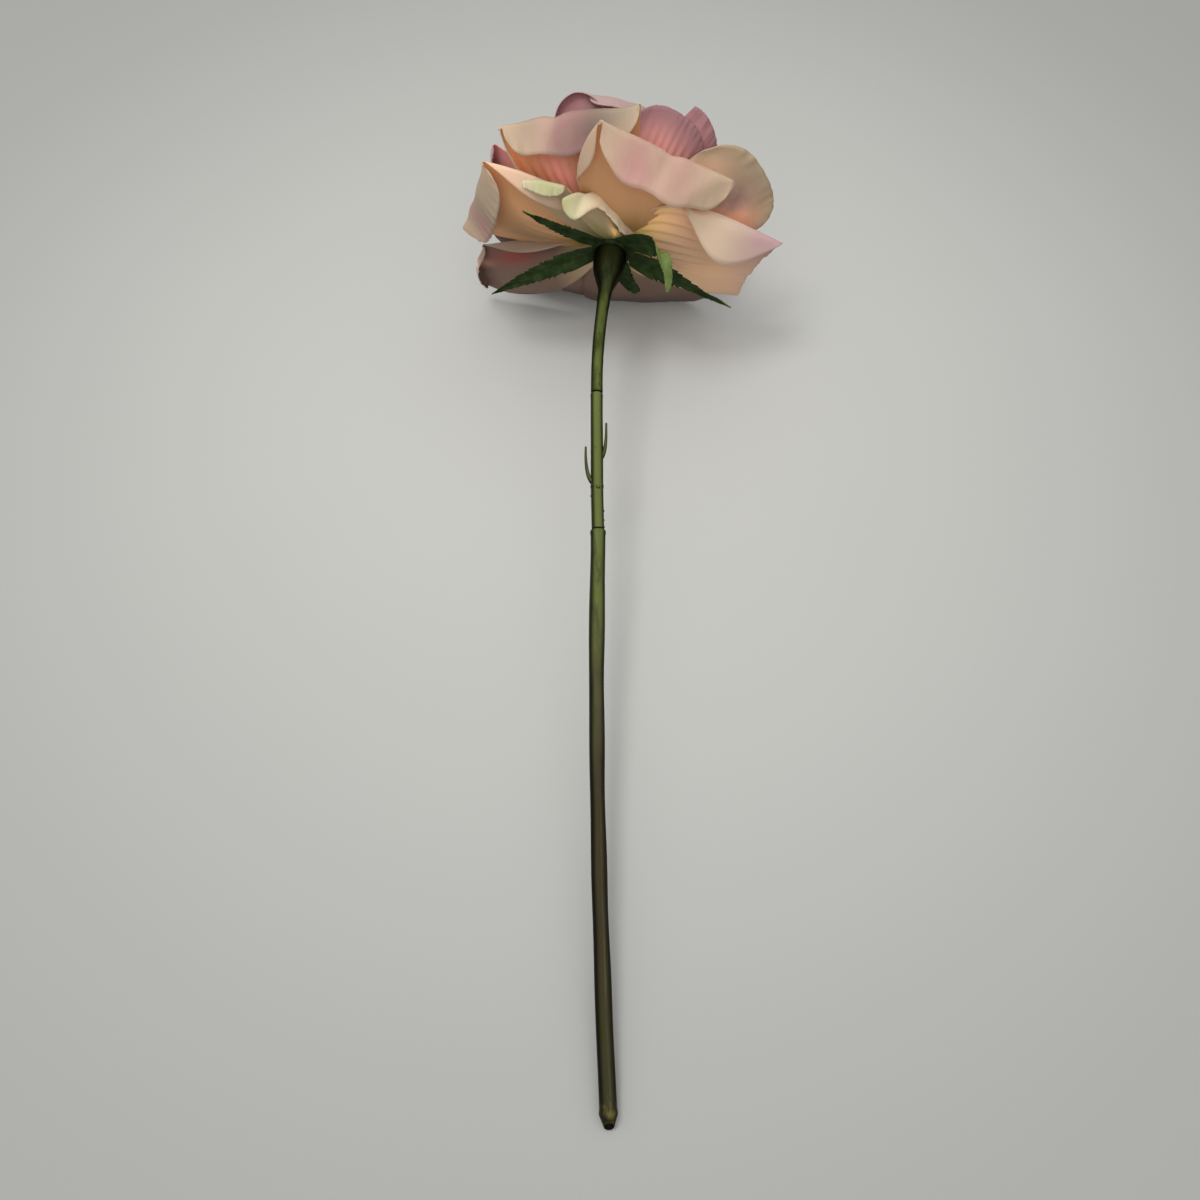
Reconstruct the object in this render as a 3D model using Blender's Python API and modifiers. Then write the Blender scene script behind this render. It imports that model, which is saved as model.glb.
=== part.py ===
"""Silk rose on a moulded stem, lying on a flat surface with its bloom to +Y.

Lengths are written in millimetres and become metres where meshes are made.
Angles are in degrees. +Z is up and the resting surface is z = 0.
"""
import math
import random
from dataclasses import dataclass

import bmesh
import bpy
import numpy as np
from mathutils import Matrix, Vector

MM = 0.001
CLEAR = 0.3

# The middle of the footprint, which becomes the origin.
FOOTPRINT_CENTRE = Vector((-1.0, -2.5, 0.0))

# The bloom: where its petals meet the calyx, and which way it faces.
BASE = np.array([-4.3, 118.0, 44.0])
BLOOM_YAW = 7.0
BLOOM_RISE = 6.0

# The stem: stations along Y from the cut end to the calyx.
CUT_END_Y = -165.0
NIPPLE_END_Y = -168.4
SLEEVE_TOP_Y = 9.3
NECK_Y = 59.8
AXIS_START_Y = 98.3
CUT_END_Z = 2.5
STEM_X = -9.4
UPPER_R = 2.13
WIRE_END_Y = 90.0
BORE_R = 1.0
WIRE_R = 0.65
SPIGOT_R = 1.5
SPIGOT_LENGTH = 7.5
STEM_SIDES = 16

# The calyx and the peg that carries the sepals and the bloom.
CALYX_R = 6.0
CALYX_TOP = -1.6
PEG_R = 1.8
PEG_TOP = 5.0

# The core that the petals' roots meet in, by its height along the bloom's axis.
CORE_FOOT = -0.4
CORE_LENGTH = 12.0
CORE_FOOT_R = 5.2
CORE_TOP_R = 6.4
SOCKET_DEPTH = 5.7

# Cloth pieces.
PETAL_THICK = 0.6
SEPAL_THICK = 0.6
SEPAL_HALF_WIDTH = 4.0
SEPAL_HUB_R = 7.2
SEPAL_HEIGHT = -1.0
LOWEST_CLOTH = PETAL_THICK / 2

# The hooks on the upper stem: each one's root in the tube's wall, the place it bends towards, and its tip.
HOOKS = (
    ((-8.0, 35.4, 32.6), (-5.4, 37.2, 32.9), (-6.2, 48.2, 34.5)),
    ((-10.9, 26.4, 31.4), (-13.8, 29.0, 31.7), (-13.1, 39.4, 33.2)),
)
HOOK_RADII = (0.65, 0.3)
HOOK_CUTS = 5

# For each piece, its material, colour, roughness and metal.
SLOTS = {
    "bloom": ("petal_silk", (0.72, 0.42, 0.36), 0.75, 0.0),
    "sepals": ("sepal_cloth", (0.10, 0.15, 0.05), 0.7, 0.0),
    "calyx": ("calyx_plastic", (0.07, 0.09, 0.03), 0.45, 0.0),
    "stem_upper": ("stem_green_plastic", (0.20, 0.27, 0.09), 0.4, 0.0),
    "stem_lower": ("stem_brown_plastic", (0.16, 0.10, 0.08), 0.4, 0.0),
    "wire_core": ("steel_wire", (0.55, 0.54, 0.52), 0.35, 1.0),
}
MERGE = 0.3
MERGE_TURNED = 0.01


def bloom_axes():
    """Right, up and forward directions of the bloom, seen from its stem."""
    yaw, rise = math.radians(BLOOM_YAW), math.radians(BLOOM_RISE)
    forward = np.array([math.sin(yaw) * math.cos(rise), math.cos(yaw) * math.cos(rise), math.sin(rise)])
    right = np.array([math.cos(yaw), -math.sin(yaw), 0.0])
    return right, np.cross(right, forward), forward


RIGHT, UP, FORWARD = bloom_axes()


def polar(azimuth, radius, height):
    """A place in the bloom's frame, from its angle round the axis, its radius and its height along it."""
    azimuth = np.radians(azimuth)
    return np.stack([radius * np.cos(azimuth), radius * np.sin(azimuth), height + 0 * azimuth], -1)


def from_bloom(points):
    """World places in millimetres of points in the bloom's frame."""
    return BASE + points[..., :1] * RIGHT + points[..., 1:2] * UP + points[..., 2:] * FORWARD


def unit(vectors):
    return vectors / np.maximum(np.linalg.norm(vectors, axis=-1, keepdims=True), 1e-9)


def stem_centre(y):
    """The stem's centre line: nearly straight, bowed at both ends, then along the bloom's axis."""
    y = np.asarray(y, float)
    to_cut = np.maximum(-30.0 - y, 0) / 138.0
    to_bloom = np.clip(y - 62.0, 0, AXIS_START_Y - 62.0) / 54.0
    slope = (BASE[2] - CUT_END_Z - 2.1) / (AXIS_START_Y - CUT_END_Y)
    x = STEM_X + 3.6 * to_cut ** 2 + 5.7 * to_bloom ** 2
    line = np.stack([x, y, CUT_END_Z + slope * (y - CUT_END_Y)], -1)
    on_axis = BASE + ((y - BASE[1]) / FORWARD[1])[..., None] * FORWARD
    return np.where((y < AXIS_START_Y)[..., None], line, on_axis)


def material(name, colour, roughness, metallic=0.0):
    found = bpy.data.materials.new(name)
    found.use_nodes = True
    surface = found.node_tree.nodes["Principled BSDF"]
    surface.inputs["Base Color"].default_value = (*colour, 1.0)
    surface.inputs["Roughness"].default_value = roughness
    surface.inputs["Metallic"].default_value = metallic
    return found


def new_object(name, mesh, collection):
    made = bpy.data.objects.new(name, mesh)
    collection.objects.link(made)
    return made


def mesh_from(name, shape):
    mesh = bpy.data.meshes.new(name)
    shape.to_mesh(mesh)
    shape.free()
    return mesh


def applied(thing, name, collection):
    """A plain mesh object of a thing with its modifiers applied."""
    graph = bpy.context.evaluated_depsgraph_get()
    mesh = bpy.data.meshes.new_from_object(thing.evaluated_get(graph))
    bpy.data.objects.remove(thing)
    return new_object(name, mesh, collection)


def combine(base, others, operation, name, collection, solver="EXACT"):
    """Joins or cuts a base by every object of a collection, and removes them."""
    join = base.modifiers.new("join", "BOOLEAN")
    join.operand_type = "COLLECTION"
    join.collection = others
    join.operation = operation
    join.solver = solver
    made = applied(base, name, collection)
    for other in list(others.objects):
        bpy.data.objects.remove(other)
    return made


@dataclass
class Flap:
    """A rim rolled back over the petal's outer side: how deep it is and how far it turns."""
    depth: float
    turn: float = 145.0
    radius: float = 1.2
    curl: float = 0.0
    full: float = 2.4
    peak: float = 0.0
    lobe: float = 0.0
    lobes: float = 2.5
    shift: float = 0.0
    start: float = 0.1
    least: float = 1.5
    flare: float = 0.0


@dataclass
class Petal:
    """A cloth petal from its root to a crest between two corners.

    A corner is an azimuth, a radius and a height in the bloom's frame. The crest arches by arch,
    with a rounder dome the larger dome is, leaning left or right by lean. Each side bows out by bow,
    nearest the root where hip is small.
    Belly and sag push the middle and the whole outwards, and wave ripples the crest.
    """
    name: str
    azimuth: float
    left: tuple
    right: tuple
    root_r: float = 5.0
    root_height: float = 3.0
    root_half: float = 25.0
    arch: float = 2.0
    dome: float = 1.0
    lean: float = 0.0
    bow: tuple = (4.0, 4.0)
    hip: tuple = (0.8, 0.8)
    belly: float = 3.0
    sag: float = 0.0
    wave: float = 0.0
    waves: float = 2.0
    shift: float = 60.0
    lowest: float = LOWEST_CLOTH
    top: Flap = None
    left_flap: Flap = None
    right_flap: Flap = None
    cells: tuple = (6, 6)


def body(petal, u, v):
    """The petal before its rims are rolled: u runs from -1 at its right side to 1, v from root to crest."""
    u, v = u[..., None], v[..., None]
    left, right = polar(*petal.left), polar(*petal.right)
    azimuth = petal.azimuth + u[..., 0] * petal.root_half
    root = polar(azimuth, petal.root_r, petal.root_height)
    along = unit((left + right) / 2 - polar(petal.azimuth, petal.root_r, petal.root_height))
    across = unit(left - right)
    out = unit(np.cross(across, along))
    out = out * np.sign((out * polar(petal.azimuth, 1.0, -1.0)).sum())
    dome = np.maximum(1 - np.abs(u) ** (1 + petal.dome), 0) ** (1 / petal.dome)
    crest = left * (1 + u) / 2 + right * (1 - u) / 2 + petal.arch * dome * (along + petal.lean * across)
    ripple = np.sin(petal.waves * np.pi * u + np.radians(petal.shift)) * (1 - u ** 4)
    crest = crest + petal.wave * ripple * out
    is_left = u > 0
    bow = np.where(is_left, *petal.bow)
    rise = np.maximum(v, 0) ** np.where(is_left, *petal.hip)
    hump = 4 * v * (1 - v)
    place = root * (1 - v) + crest * v
    place = place + across * np.sign(u) * np.abs(u) ** 1.5 * bow * 4 * rise * (1 - rise)
    place = place + out * (petal.belly * (1 - u ** 2) + petal.sag) * hump
    return place, out


def crease(petal, u, v, side):
    """At a place on a rim: the ways along it and off the petal, and its outward normal.

    Side is 0 for the crest, 1 for the left side and -1 for the right.
    """
    step = 1e-3
    along_u = body(petal, u + step, v)[0] - body(petal, u - step, v)[0]
    along_v = body(petal, u, v + step)[0] - body(petal, u, v - step)[0]
    out = body(petal, u, v)[1]
    normal = unit(np.cross(along_u, along_v))
    normal = normal * np.sign((normal * out).sum(-1, keepdims=True))
    line, off = (unit(along_v), along_u * side) if side else (unit(along_u), along_v)
    off = off - (off * line).sum(-1, keepdims=True) * line
    return line, unit(off), normal


def rolled(length, radius, flap):
    """How far a strip of a length reaches off the petal and out from it, once it is rolled back."""
    turn = math.radians(flap.turn)
    angle = np.clip(length / radius, 0, turn)
    rest = np.maximum(length - radius * turn, 0)
    bend = math.radians(flap.curl) / 20.0
    reach = rest * np.cos(turn + bend * rest)
    lift = rest * np.sin(turn + bend * rest)
    return radius * np.sin(angle) + reach, radius * (1 - np.cos(angle)) + lift


def petal_points(petal, u, v, past_crest, past_side):
    """Bloom-frame places. Past_crest is 0..1 over the crest's flap, past_side -1..1 over the side flaps."""
    place = body(petal, u, v)[0]
    if petal.top:
        flap = petal.top
        inner_u = np.clip(u, -0.999, 0.999)
        evenness = np.abs(inner_u - flap.peak * (1 - inner_u ** 2)) ** flap.full
        depth = flap.depth * np.sqrt(np.maximum(1 - evenness, 0))
        depth = depth * (1 + flap.lobe * np.cos(flap.lobes * np.pi * inner_u + np.radians(flap.shift)))
        line, off, normal = crease(petal, inner_u, np.ones_like(v), 0)
        length = past_crest * (depth + flap.least)
        reach, lift = rolled(length, flap.radius * (1 - 0.4 * inner_u ** 2), flap)
        aside = flap.flare * inner_u * length
        place = place + off * reach[..., None] + normal * lift[..., None] + line * aside[..., None]
    for flap, side in ((petal.left_flap, 1), (petal.right_flap, -1)):
        if not flap:
            continue
        past = np.maximum(past_side * side, 0)
        up_side = np.clip((v - flap.start) / (1 - flap.start), 0, 1)
        depth = flap.depth * np.sin(np.pi * up_side) + flap.least
        off, normal = crease(petal, np.full_like(u, 0.999 * side), np.clip(v, 0.02, 0.98), side)[1:]
        reach, lift = rolled(past * depth, flap.radius, flap)
        place = place + off * reach[..., None] + normal * lift[..., None]
    return place


def petal_grid(petal, top_rows=3, side_cols=2):
    """Tables of u, v, past_crest and past_side for the rows and columns of a petal's grid."""
    body_cols, body_rows = petal.cells
    right_cols = side_cols if petal.right_flap else 0
    left_cols = side_cols if petal.left_flap else 0
    rows = body_rows + (top_rows if petal.top else 0)
    cols = right_cols + body_cols + left_cols
    col, row = np.meshgrid(np.arange(cols + 1.0), np.arange(rows + 1.0))
    u = np.clip((col - right_cols) / body_cols, 0, 1) * 2 - 1
    v = np.clip(row / body_rows, 0, 1)
    past_crest = np.maximum(row - body_rows, 0) / top_rows
    past_side = (np.maximum(col - right_cols - body_cols, 0) - np.maximum(right_cols - col, 0)) / side_cols
    return u, v, past_crest, past_side


# Petals seen from behind, outermost first. A corner is (azimuth, radius, height).
SHOWN_PETALS = (
    Petal("over_calyx", 88, (121, 31, -2), (41, 10, 6), root_r=4, root_height=1, arch=9, dome=1,
          lean=-0.3, bow=(2, 2), belly=1,
          top=Flap(7, 150, radius=1, full=5, lobe=0.25, lobes=2, shift=180, flare=0.6)),
    Petal("beside_calyx", 128, (141, 41, 3), (118, 33, 1), root_r=4, root_height=1.5, arch=3, dome=1,
          lean=0.3, bow=(4, 2), hip=(1.2, 0.8), belly=2,
          top=Flap(5, 140, radius=1, full=1.8, peak=-0.5, least=1)),
    Petal("left", 165, (184, 55, 8), (143.5, 54, 6), arch=-1, bow=(4, 9), belly=4,
          top=Flap(15, 150, curl=10, full=2.2), right_flap=Flap(8, 150)),
    Petal("low_left", 206, (217, 62, 8), (196, 50, 8), arch=3, bow=(16, 1), belly=5,
          top=Flap(4, 140, full=3), right_flap=Flap(6, 150)),
    Petal("under", 285, (314, 53, 14), (254, 43, 10), arch=8, dome=1.8, bow=(5, 5)),
    Petal("right", -5, (2, 60, 8), (-34, 58, 10), arch=-2, bow=(22, 11), hip=(0.4, 0.5),
          left_flap=Flap(16, 145, radius=1.6, start=0.2), cells=(6, 9)),
    Petal("top_left", 115, (139, 52, 20), (81, 49, 20), root_height=4, arch=0, bow=(8, 3), belly=4,
          top=Flap(15, 145, curl=8, full=2.2, lobe=0.06), left_flap=Flap(4, 150)),
    Petal("top_right", 64, (93.5, 55, 6), (35, 50, 10), arch=-1, bow=(10, 2), belly=4,
          top=Flap(16, 145, curl=6, full=2.5, lobe=0.05, lobes=3, shift=90),
          left_flap=Flap(6, 145, start=0.42)),
    Petal("far_right", 22, (47, 43, 20), (0, 48, 12), root_height=4, arch=15, dome=2, bow=(3, 8), belly=4),
    Petal("second_left", 195, (225, 46, 15), (178, 48, 16), root_height=4, arch=8, dome=2, lowest=1.6),
    Petal("second_low", 240, (264, 44, 13), (215, 52, 13), root_height=4, arch=9, dome=2),
    Petal("second_right", 305, (335, 46, 16), (285, 40, 16), root_height=4, arch=8, dome=2, lowest=1.6),
    Petal("crown_left", 108, (123, 40, 25), (97, 38, 27), root_height=5, arch=6, dome=0.9, bow=(2, 2),
          belly=4, top=Flap(2, 100, radius=1.5)),
    Petal("crown_right", 60, (81, 39, 26), (42, 39, 22), root_height=5, arch=8, dome=1.6, bow=(2, 4), belly=4,
          right_flap=Flap(6, 110, radius=2.2, start=0.2, least=0.2)),
    Petal("third_left", 165, (185, 42, 20), (149, 49.5, 20), root_height=5, arch=2, dome=1, top=Flap(4, 140)),
    Petal("third_low_left", 225, (250, 36, 24), (200, 40, 24), root_height=5, arch=7, dome=2, belly=4),
    Petal("third_low_right", 310, (338, 38, 24), (282, 36, 24), root_height=5, arch=7, dome=2, belly=4),
    Petal("back_crown_left", 90, (105, 42, 30), (78, 38, 30), root_height=6, arch=0, top=Flap(5, 140)),
    Petal("back_crown_right", 50, (57, 46, 32), (38, 43, 27), root_height=6, arch=2, dome=1),
)


@dataclass
class Ring:
    """A ring of alike petals nearer the middle of the bloom."""
    count: int
    start: float
    spread: float
    radius: float
    height: float
    arch: float
    sag: float


RINGS = (
    Ring(4, 145, 26, 35, 33, 6, 4),
    Ring(5, 20, 40, 25, 38, 5, 6),
    Ring(4, 60, 48, 16, 41, 4, 6),
    Ring(3, 15, 58, 9, 43, 3, 4),
)
RING_CELLS = (5, 5)


def ring_petals():
    """The petals of the inner rings. The first ring leaves room for the crown petals at the top."""
    draw = random.Random(7)
    found = []
    for number, ring in enumerate(RINGS):
        step = 60 if number == 0 else 360 / ring.count
        for place in range(ring.count):
            azimuth = ring.start + place * step + draw.uniform(-4, 4)
            radius = ring.radius * draw.uniform(0.96, 1.04)
            found.append(Petal(
                f"ring_{number}_{place}", azimuth, (azimuth + ring.spread, radius, ring.height),
                (azimuth - ring.spread, radius * 0.86, ring.height - 1.5), root_r=3, root_height=7,
                arch=ring.arch, dome=2, bow=(3, 3), belly=2, sag=ring.sag, cells=RING_CELLS))
    return found


def add_petal(petal, collection):
    """A closed solid of a petal: a grid moved to its shape, split into triangles, then thickened."""
    u, v, past_crest, past_side = petal_grid(petal)
    rows, cols = u.shape
    shape = bmesh.new()
    bmesh.ops.create_grid(shape, x_segments=cols - 1, y_segments=rows - 1, size=1.0)
    at = np.array([vert.co[:2] for vert in shape.verts])
    col = np.rint((at[:, 0] + 1) / 2 * (cols - 1)).astype(int)
    row = np.rint((at[:, 1] + 1) / 2 * (rows - 1)).astype(int)
    places = petal_points(petal, u[row, col], v[row, col], past_crest[row, col], past_side[row, col])
    places = from_bloom(places)
    places[:, 2] = np.maximum(places[:, 2], petal.lowest)
    for vert, place in zip(shape.verts, places):
        vert.co = place * MM
    bmesh.ops.remove_doubles(shape, verts=shape.verts, dist=MERGE * MM)
    bmesh.ops.triangulate(shape, faces=shape.faces)
    made = new_object(petal.name, mesh_from(petal.name, shape), collection)
    thicken = made.modifiers.new("thickness", "SOLIDIFY")
    thicken.thickness = PETAL_THICK * MM
    thicken.offset = 0
    return applied(made, petal.name, collection)


def outer_shell(made):
    """Keeps only the largest connected surface, which fills sealed hollows and drops loose scraps."""
    shape = bmesh.new()
    shape.from_mesh(made.data)
    waiting = set(shape.verts)
    shells = []
    while waiting:
        edge_of = [waiting.pop()]
        shell = set(edge_of)
        while edge_of:
            for edge in edge_of.pop().link_edges:
                for vert in edge.verts:
                    if vert in waiting:
                        waiting.remove(vert)
                        shell.add(vert)
                        edge_of.append(vert)
        shells.append(shell)
    shells.sort(key=len)
    for shell in shells[:-1]:
        bmesh.ops.delete(shape, geom=list(shell), context="VERTS")
    shape.to_mesh(made.data)
    shape.free()


def rod(name, radii, length, sides, collection):
    """A cone or cylinder from the origin up +Z."""
    shape = bmesh.new()
    bmesh.ops.create_cone(shape, cap_ends=True, segments=sides, radius1=radii[0] * MM, radius2=radii[1] * MM,
                          depth=length * MM, matrix=Matrix.Translation((0, 0, length / 2 * MM)))
    return new_object(name, mesh_from(name, shape), collection)


def on_bloom_axis(made, height):
    """Moves a mesh built from the origin up +Z so that it starts at a height along the bloom's axis."""
    for vert in made.data.vertices:
        vert.co = from_bloom(np.array(vert.co) / MM + np.array([0.0, 0.0, height])) * MM
    made.data.flip_normals()


def bloom(collection, joined, cutters):
    """All petals, fused to a small core that has a socket for the calyx's peg."""
    for petal in SHOWN_PETALS + tuple(ring_petals()):
        add_petal(petal, joined)
    core = rod("core", (CORE_FOOT_R, CORE_TOP_R), CORE_LENGTH, 14, collection)
    on_bloom_axis(core, CORE_FOOT)
    fused = combine(core, joined, "UNION", "fused_petals", collection)
    outer_shell(fused)
    socket = rod("socket", (PEG_R + CLEAR, PEG_R + CLEAR), SOCKET_DEPTH + 1, 16, cutters)
    on_bloom_axis(socket, CORE_FOOT - 1)
    return combine(fused, cutters, "DIFFERENCE", "bloom", collection)


@dataclass
class Sepal:
    """A serrated sepal through a root, a middle and a tip, each an azimuth, a radius and a height.

    It rolls soon after its root and may twist further on. A blunt one keeps that share of its width.
    """
    name: str
    root: tuple
    middle: tuple
    tip: tuple
    roll: float = 0.0
    twist: float = 0.0
    blunt: float = 0.05
    width: float = 1.0


SEPALS = (
    Sepal("upper_left", (130, 6.5, SEPAL_HEIGHT), (131, 26, -8), (132, 42, -12), width=0.65, roll=10),
    Sepal("lower_left", (188, 6.5, SEPAL_HEIGHT), (192, 25, -8), (204, 48, -9), roll=20),
    Sepal("upper_right", (54, 6.5, SEPAL_HEIGHT), (37, 23, -10), (-3, 22, -15), blunt=0.5,
          roll=-32, twist=172),
    Sepal("lower_right", (-14, 6.5, SEPAL_HEIGHT), (-9, 25, -7), (-22, 49, -6), roll=-25, twist=35),
    Sepal("under", (-66, 6.5, SEPAL_HEIGHT), (-63, 13, -3), (-58, 20, -4), blunt=0.7),
)
SEPAL_ROWS = 24
TEETH = 8
ROLL_END = 0.3
TAPER_START = 0.25
TEETH_START = 0.3
TWIST_START = 0.3
TWIST_LENGTH = 0.4


def sepal_points(sepal, across, along):
    """Bloom-frame places of a sepal, with across from -1 to 1 and along from root to tip.

    Its teeth point to the tip.
    """
    root, middle, tip = polar(*sepal.root), polar(*sepal.middle), polar(*sepal.tip)
    pull = 2 * middle - (root + tip) / 2
    t = along[:, None]
    centre = root * (1 - t) ** 2 + pull * 2 * t * (1 - t) + tip * t ** 2
    ahead = unit(-2 * root * (1 - t) + pull * 2 * (1 - 2 * t) + 2 * tip * t)
    side = unit(np.cross(ahead, np.array([0.0, 0.0, -1.0])))
    lift = np.cross(side, ahead)
    ease = np.clip((t - TWIST_START) / TWIST_LENGTH, 0, 1)
    rolling = np.clip(t / ROLL_END, 0, 1)
    angle = np.radians(sepal.roll * rolling + sepal.twist * ease ** 2 * (3 - 2 * ease))
    across_way = side * np.cos(angle) + lift * np.sin(angle)
    taper = np.clip((along - TAPER_START) / (1 - TAPER_START), 0, 1)
    outline = np.maximum(1 - taper ** 1.6, sepal.blunt * np.sqrt(1.05 - along ** 8))
    tooth = 1 + (0.3 * np.mod(along * TEETH, 1.0) - 0.2) * (along > TEETH_START) * (along < 0.96)
    half = SEPAL_HALF_WIDTH * sepal.width * outline * tooth
    fold = 0.12 * SEPAL_HALF_WIDTH * across ** 2
    return centre + across_way * (half * across)[:, None] + lift * fold[:, None]


def sepals(collection, joined, cutters):
    """Five serrated arms fused to a thin hub, with a hole for the peg."""
    for sepal in SEPALS:
        shape = bmesh.new()
        bmesh.ops.create_grid(shape, x_segments=2, y_segments=SEPAL_ROWS, size=1.0)
        at = np.array([vert.co[:2] for vert in shape.verts])
        places = from_bloom(sepal_points(sepal, at[:, 0], (at[:, 1] + 1) / 2))
        for vert, place in zip(shape.verts, places):
            vert.co = place * MM
        bmesh.ops.triangulate(shape, faces=shape.faces)
        arm = new_object(sepal.name, mesh_from(sepal.name, shape), joined)
        thicken = arm.modifiers.new("thickness", "SOLIDIFY")
        thicken.thickness = SEPAL_THICK * MM
        thicken.offset = 0
        applied(arm, sepal.name, joined)
    hub = rod("hub", (SEPAL_HUB_R, SEPAL_HUB_R), SEPAL_THICK, 20, collection)
    on_bloom_axis(hub, SEPAL_HEIGHT - SEPAL_THICK / 2)
    fused = combine(hub, joined, "UNION", "fused_sepals", collection)
    hole = rod("peg_hole", (PEG_R + CLEAR, PEG_R + CLEAR), 3, 16, cutters)
    on_bloom_axis(hole, SEPAL_HEIGHT - 1.5)
    return combine(fused, cutters, "DIFFERENCE", "sepals", collection)


def turned(name, profile, collection):
    """A solid of revolution bent along the stem.

    Profile points are (radius, station along Y), down the outer side. A profile with a bore closes on itself,
    and one without it ends on the axis.
    """
    shape = bmesh.new()
    verts = [shape.verts.new((radius * MM, 0.0, station * MM)) for radius, station in profile]
    if profile[-1][0] > 0:
        verts.append(verts[0])
    for start, end in zip(verts, verts[1:]):
        shape.edges.new((start, end))
    made = new_object(name, mesh_from(name, shape), collection)
    screw = made.modifiers.new("turn", "SCREW")
    screw.steps = screw.render_steps = STEM_SIDES
    screw.use_merge_vertices = True
    screw.merge_threshold = MERGE_TURNED * MM
    made = applied(made, name, collection)
    at = np.array([vert.co for vert in made.data.vertices]) / MM
    centre = stem_centre(at[:, 2])
    ahead = unit(stem_centre(at[:, 2] + 0.5) - stem_centre(at[:, 2] - 0.5))
    side = unit(np.cross(ahead, np.array([0.0, 0.0, 1.0])))
    places = centre + side * at[:, :1] + np.cross(ahead, side) * at[:, 1:2]
    places[:, 2] = np.maximum(places[:, 2], 0.0)
    for vert, place in zip(made.data.vertices, places):
        vert.co = place * MM
    return made


def station(height):
    """The station along Y of a height on the bloom's axis."""
    return BASE[1] + height * FORWARD[1]


def stem_lower(collection):
    """The lower tube: an end that tapers to a nipple, a slim body and a sleeve with a counterbore."""
    profile = (
        (SPIGOT_R + CLEAR, SLEEVE_TOP_Y), (2.3, SLEEVE_TOP_Y), (2.52, 8.9), (2.52, 7.9), (2.45, 7.3),
        (2.5, -12), (2.5, -28), (2.4, -45), (2.35, -60), (2.33, -75), (2.33, -90), (2.37, -105), (2.42, -118),
        (2.46, -132), (2.5, -145), (2.5, -163.0), (2.66, -163.7), (2.66, -164.4), (2.4, CUT_END_Y),
        (1.75, -167.2), (1.6, NIPPLE_END_Y), (BORE_R, NIPPLE_END_Y), (BORE_R, -120), (BORE_R, -60),
        (BORE_R, SLEEVE_TOP_Y - SPIGOT_LENGTH - 0.5), (SPIGOT_R + CLEAR, SLEEVE_TOP_Y - SPIGOT_LENGTH - 0.5),
    )
    return turned("stem_lower", profile, collection)


def stem_upper(collection, joined):
    """The upper tube: a spigot in the sleeve, a faint ring and two hooks that point to the bloom."""
    foot = SLEEVE_TOP_Y + CLEAR
    profile = (
        (BORE_R, NECK_Y - CLEAR), (1.95, NECK_Y - CLEAR), (2.18, NECK_Y - 0.7), (2.18, NECK_Y - 1.5),
        (UPPER_R, NECK_Y - 1.8), (UPPER_R, 42), (UPPER_R, 25.2),
        (UPPER_R + 0.15, 25.0), (UPPER_R + 0.15, 24.4),
        (UPPER_R, 24.2), (UPPER_R, foot), (SPIGOT_R, foot), (SPIGOT_R, foot - SPIGOT_LENGTH),
        (BORE_R, foot - SPIGOT_LENGTH), (BORE_R, foot), (BORE_R, 42),
    )
    tube = turned("upper_tube", profile, collection)
    for number, bend in enumerate(HOOKS):
        hook(f"hook_{number}", [np.array(place) for place in bend], joined)
    return combine(tube, joined, "UNION", "stem_upper", collection)


def hook(name, bend, collection):
    """A tapered peg that curves from its root to its tip."""
    shape = bmesh.new()
    bmesh.ops.create_cone(shape, cap_ends=True, segments=8, radius1=HOOK_RADII[0], radius2=HOOK_RADII[1],
                          depth=1.0, matrix=Matrix.Translation((0, 0, 0.5)))
    upright = [edge for edge in shape.edges if abs(edge.verts[0].co.z - edge.verts[1].co.z) > 0.5]
    bmesh.ops.subdivide_edges(shape, edges=upright, cuts=HOOK_CUTS)
    root, pull, tip = bend
    for vert in shape.verts:
        t = vert.co.z
        centre = root * (1 - t) ** 2 + pull * 2 * t * (1 - t) + tip * t ** 2
        ahead = unit((pull - root) * (1 - t) + (tip - pull) * t)
        side = unit(np.cross(ahead, np.array([0.0, 0.0, 1.0])))
        vert.co = Vector((centre + side * vert.co.x + np.cross(ahead, side) * vert.co.y) * MM)
    return new_object(name, mesh_from(name, shape), collection)


def calyx(collection):
    """The neck and the bell under the bloom, with a peg for the sepals and the bloom and a blind bore."""
    top = station(CALYX_TOP)
    profile = (
        (0, station(PEG_TOP)), (PEG_R, station(PEG_TOP)), (PEG_R, top), (CALYX_R - 0.5, top),
        (CALYX_R, top - 0.7), (5.9, 114), (5.35, 109),
        (4.1, 105), (2.9, 102), (2.5, 100.8), (2.3, 96.7), (2.15, 92), (2.1, 86), (2.05, 75), (2.05, 65),
        (2.1, NECK_Y + 0.6), (2.0, NECK_Y), (BORE_R, NECK_Y), (BORE_R, 75), (BORE_R, 85),
        (BORE_R, WIRE_END_Y + 1), (0, WIRE_END_Y + 1),
    )
    return turned("calyx", profile, collection)


def wire_core(collection):
    """The wire in the stem's bore, from the nipple to the calyx."""
    stations = (WIRE_END_Y, 80, 70, 60, 30, 0, -30, -60, -90, -120, -145, NIPPLE_END_Y + 0.2)
    profile = ((0, stations[0]),) + tuple((WIRE_R, place) for place in stations) + ((0, stations[-1]),)
    return turned("wire_core", profile, collection)


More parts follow.
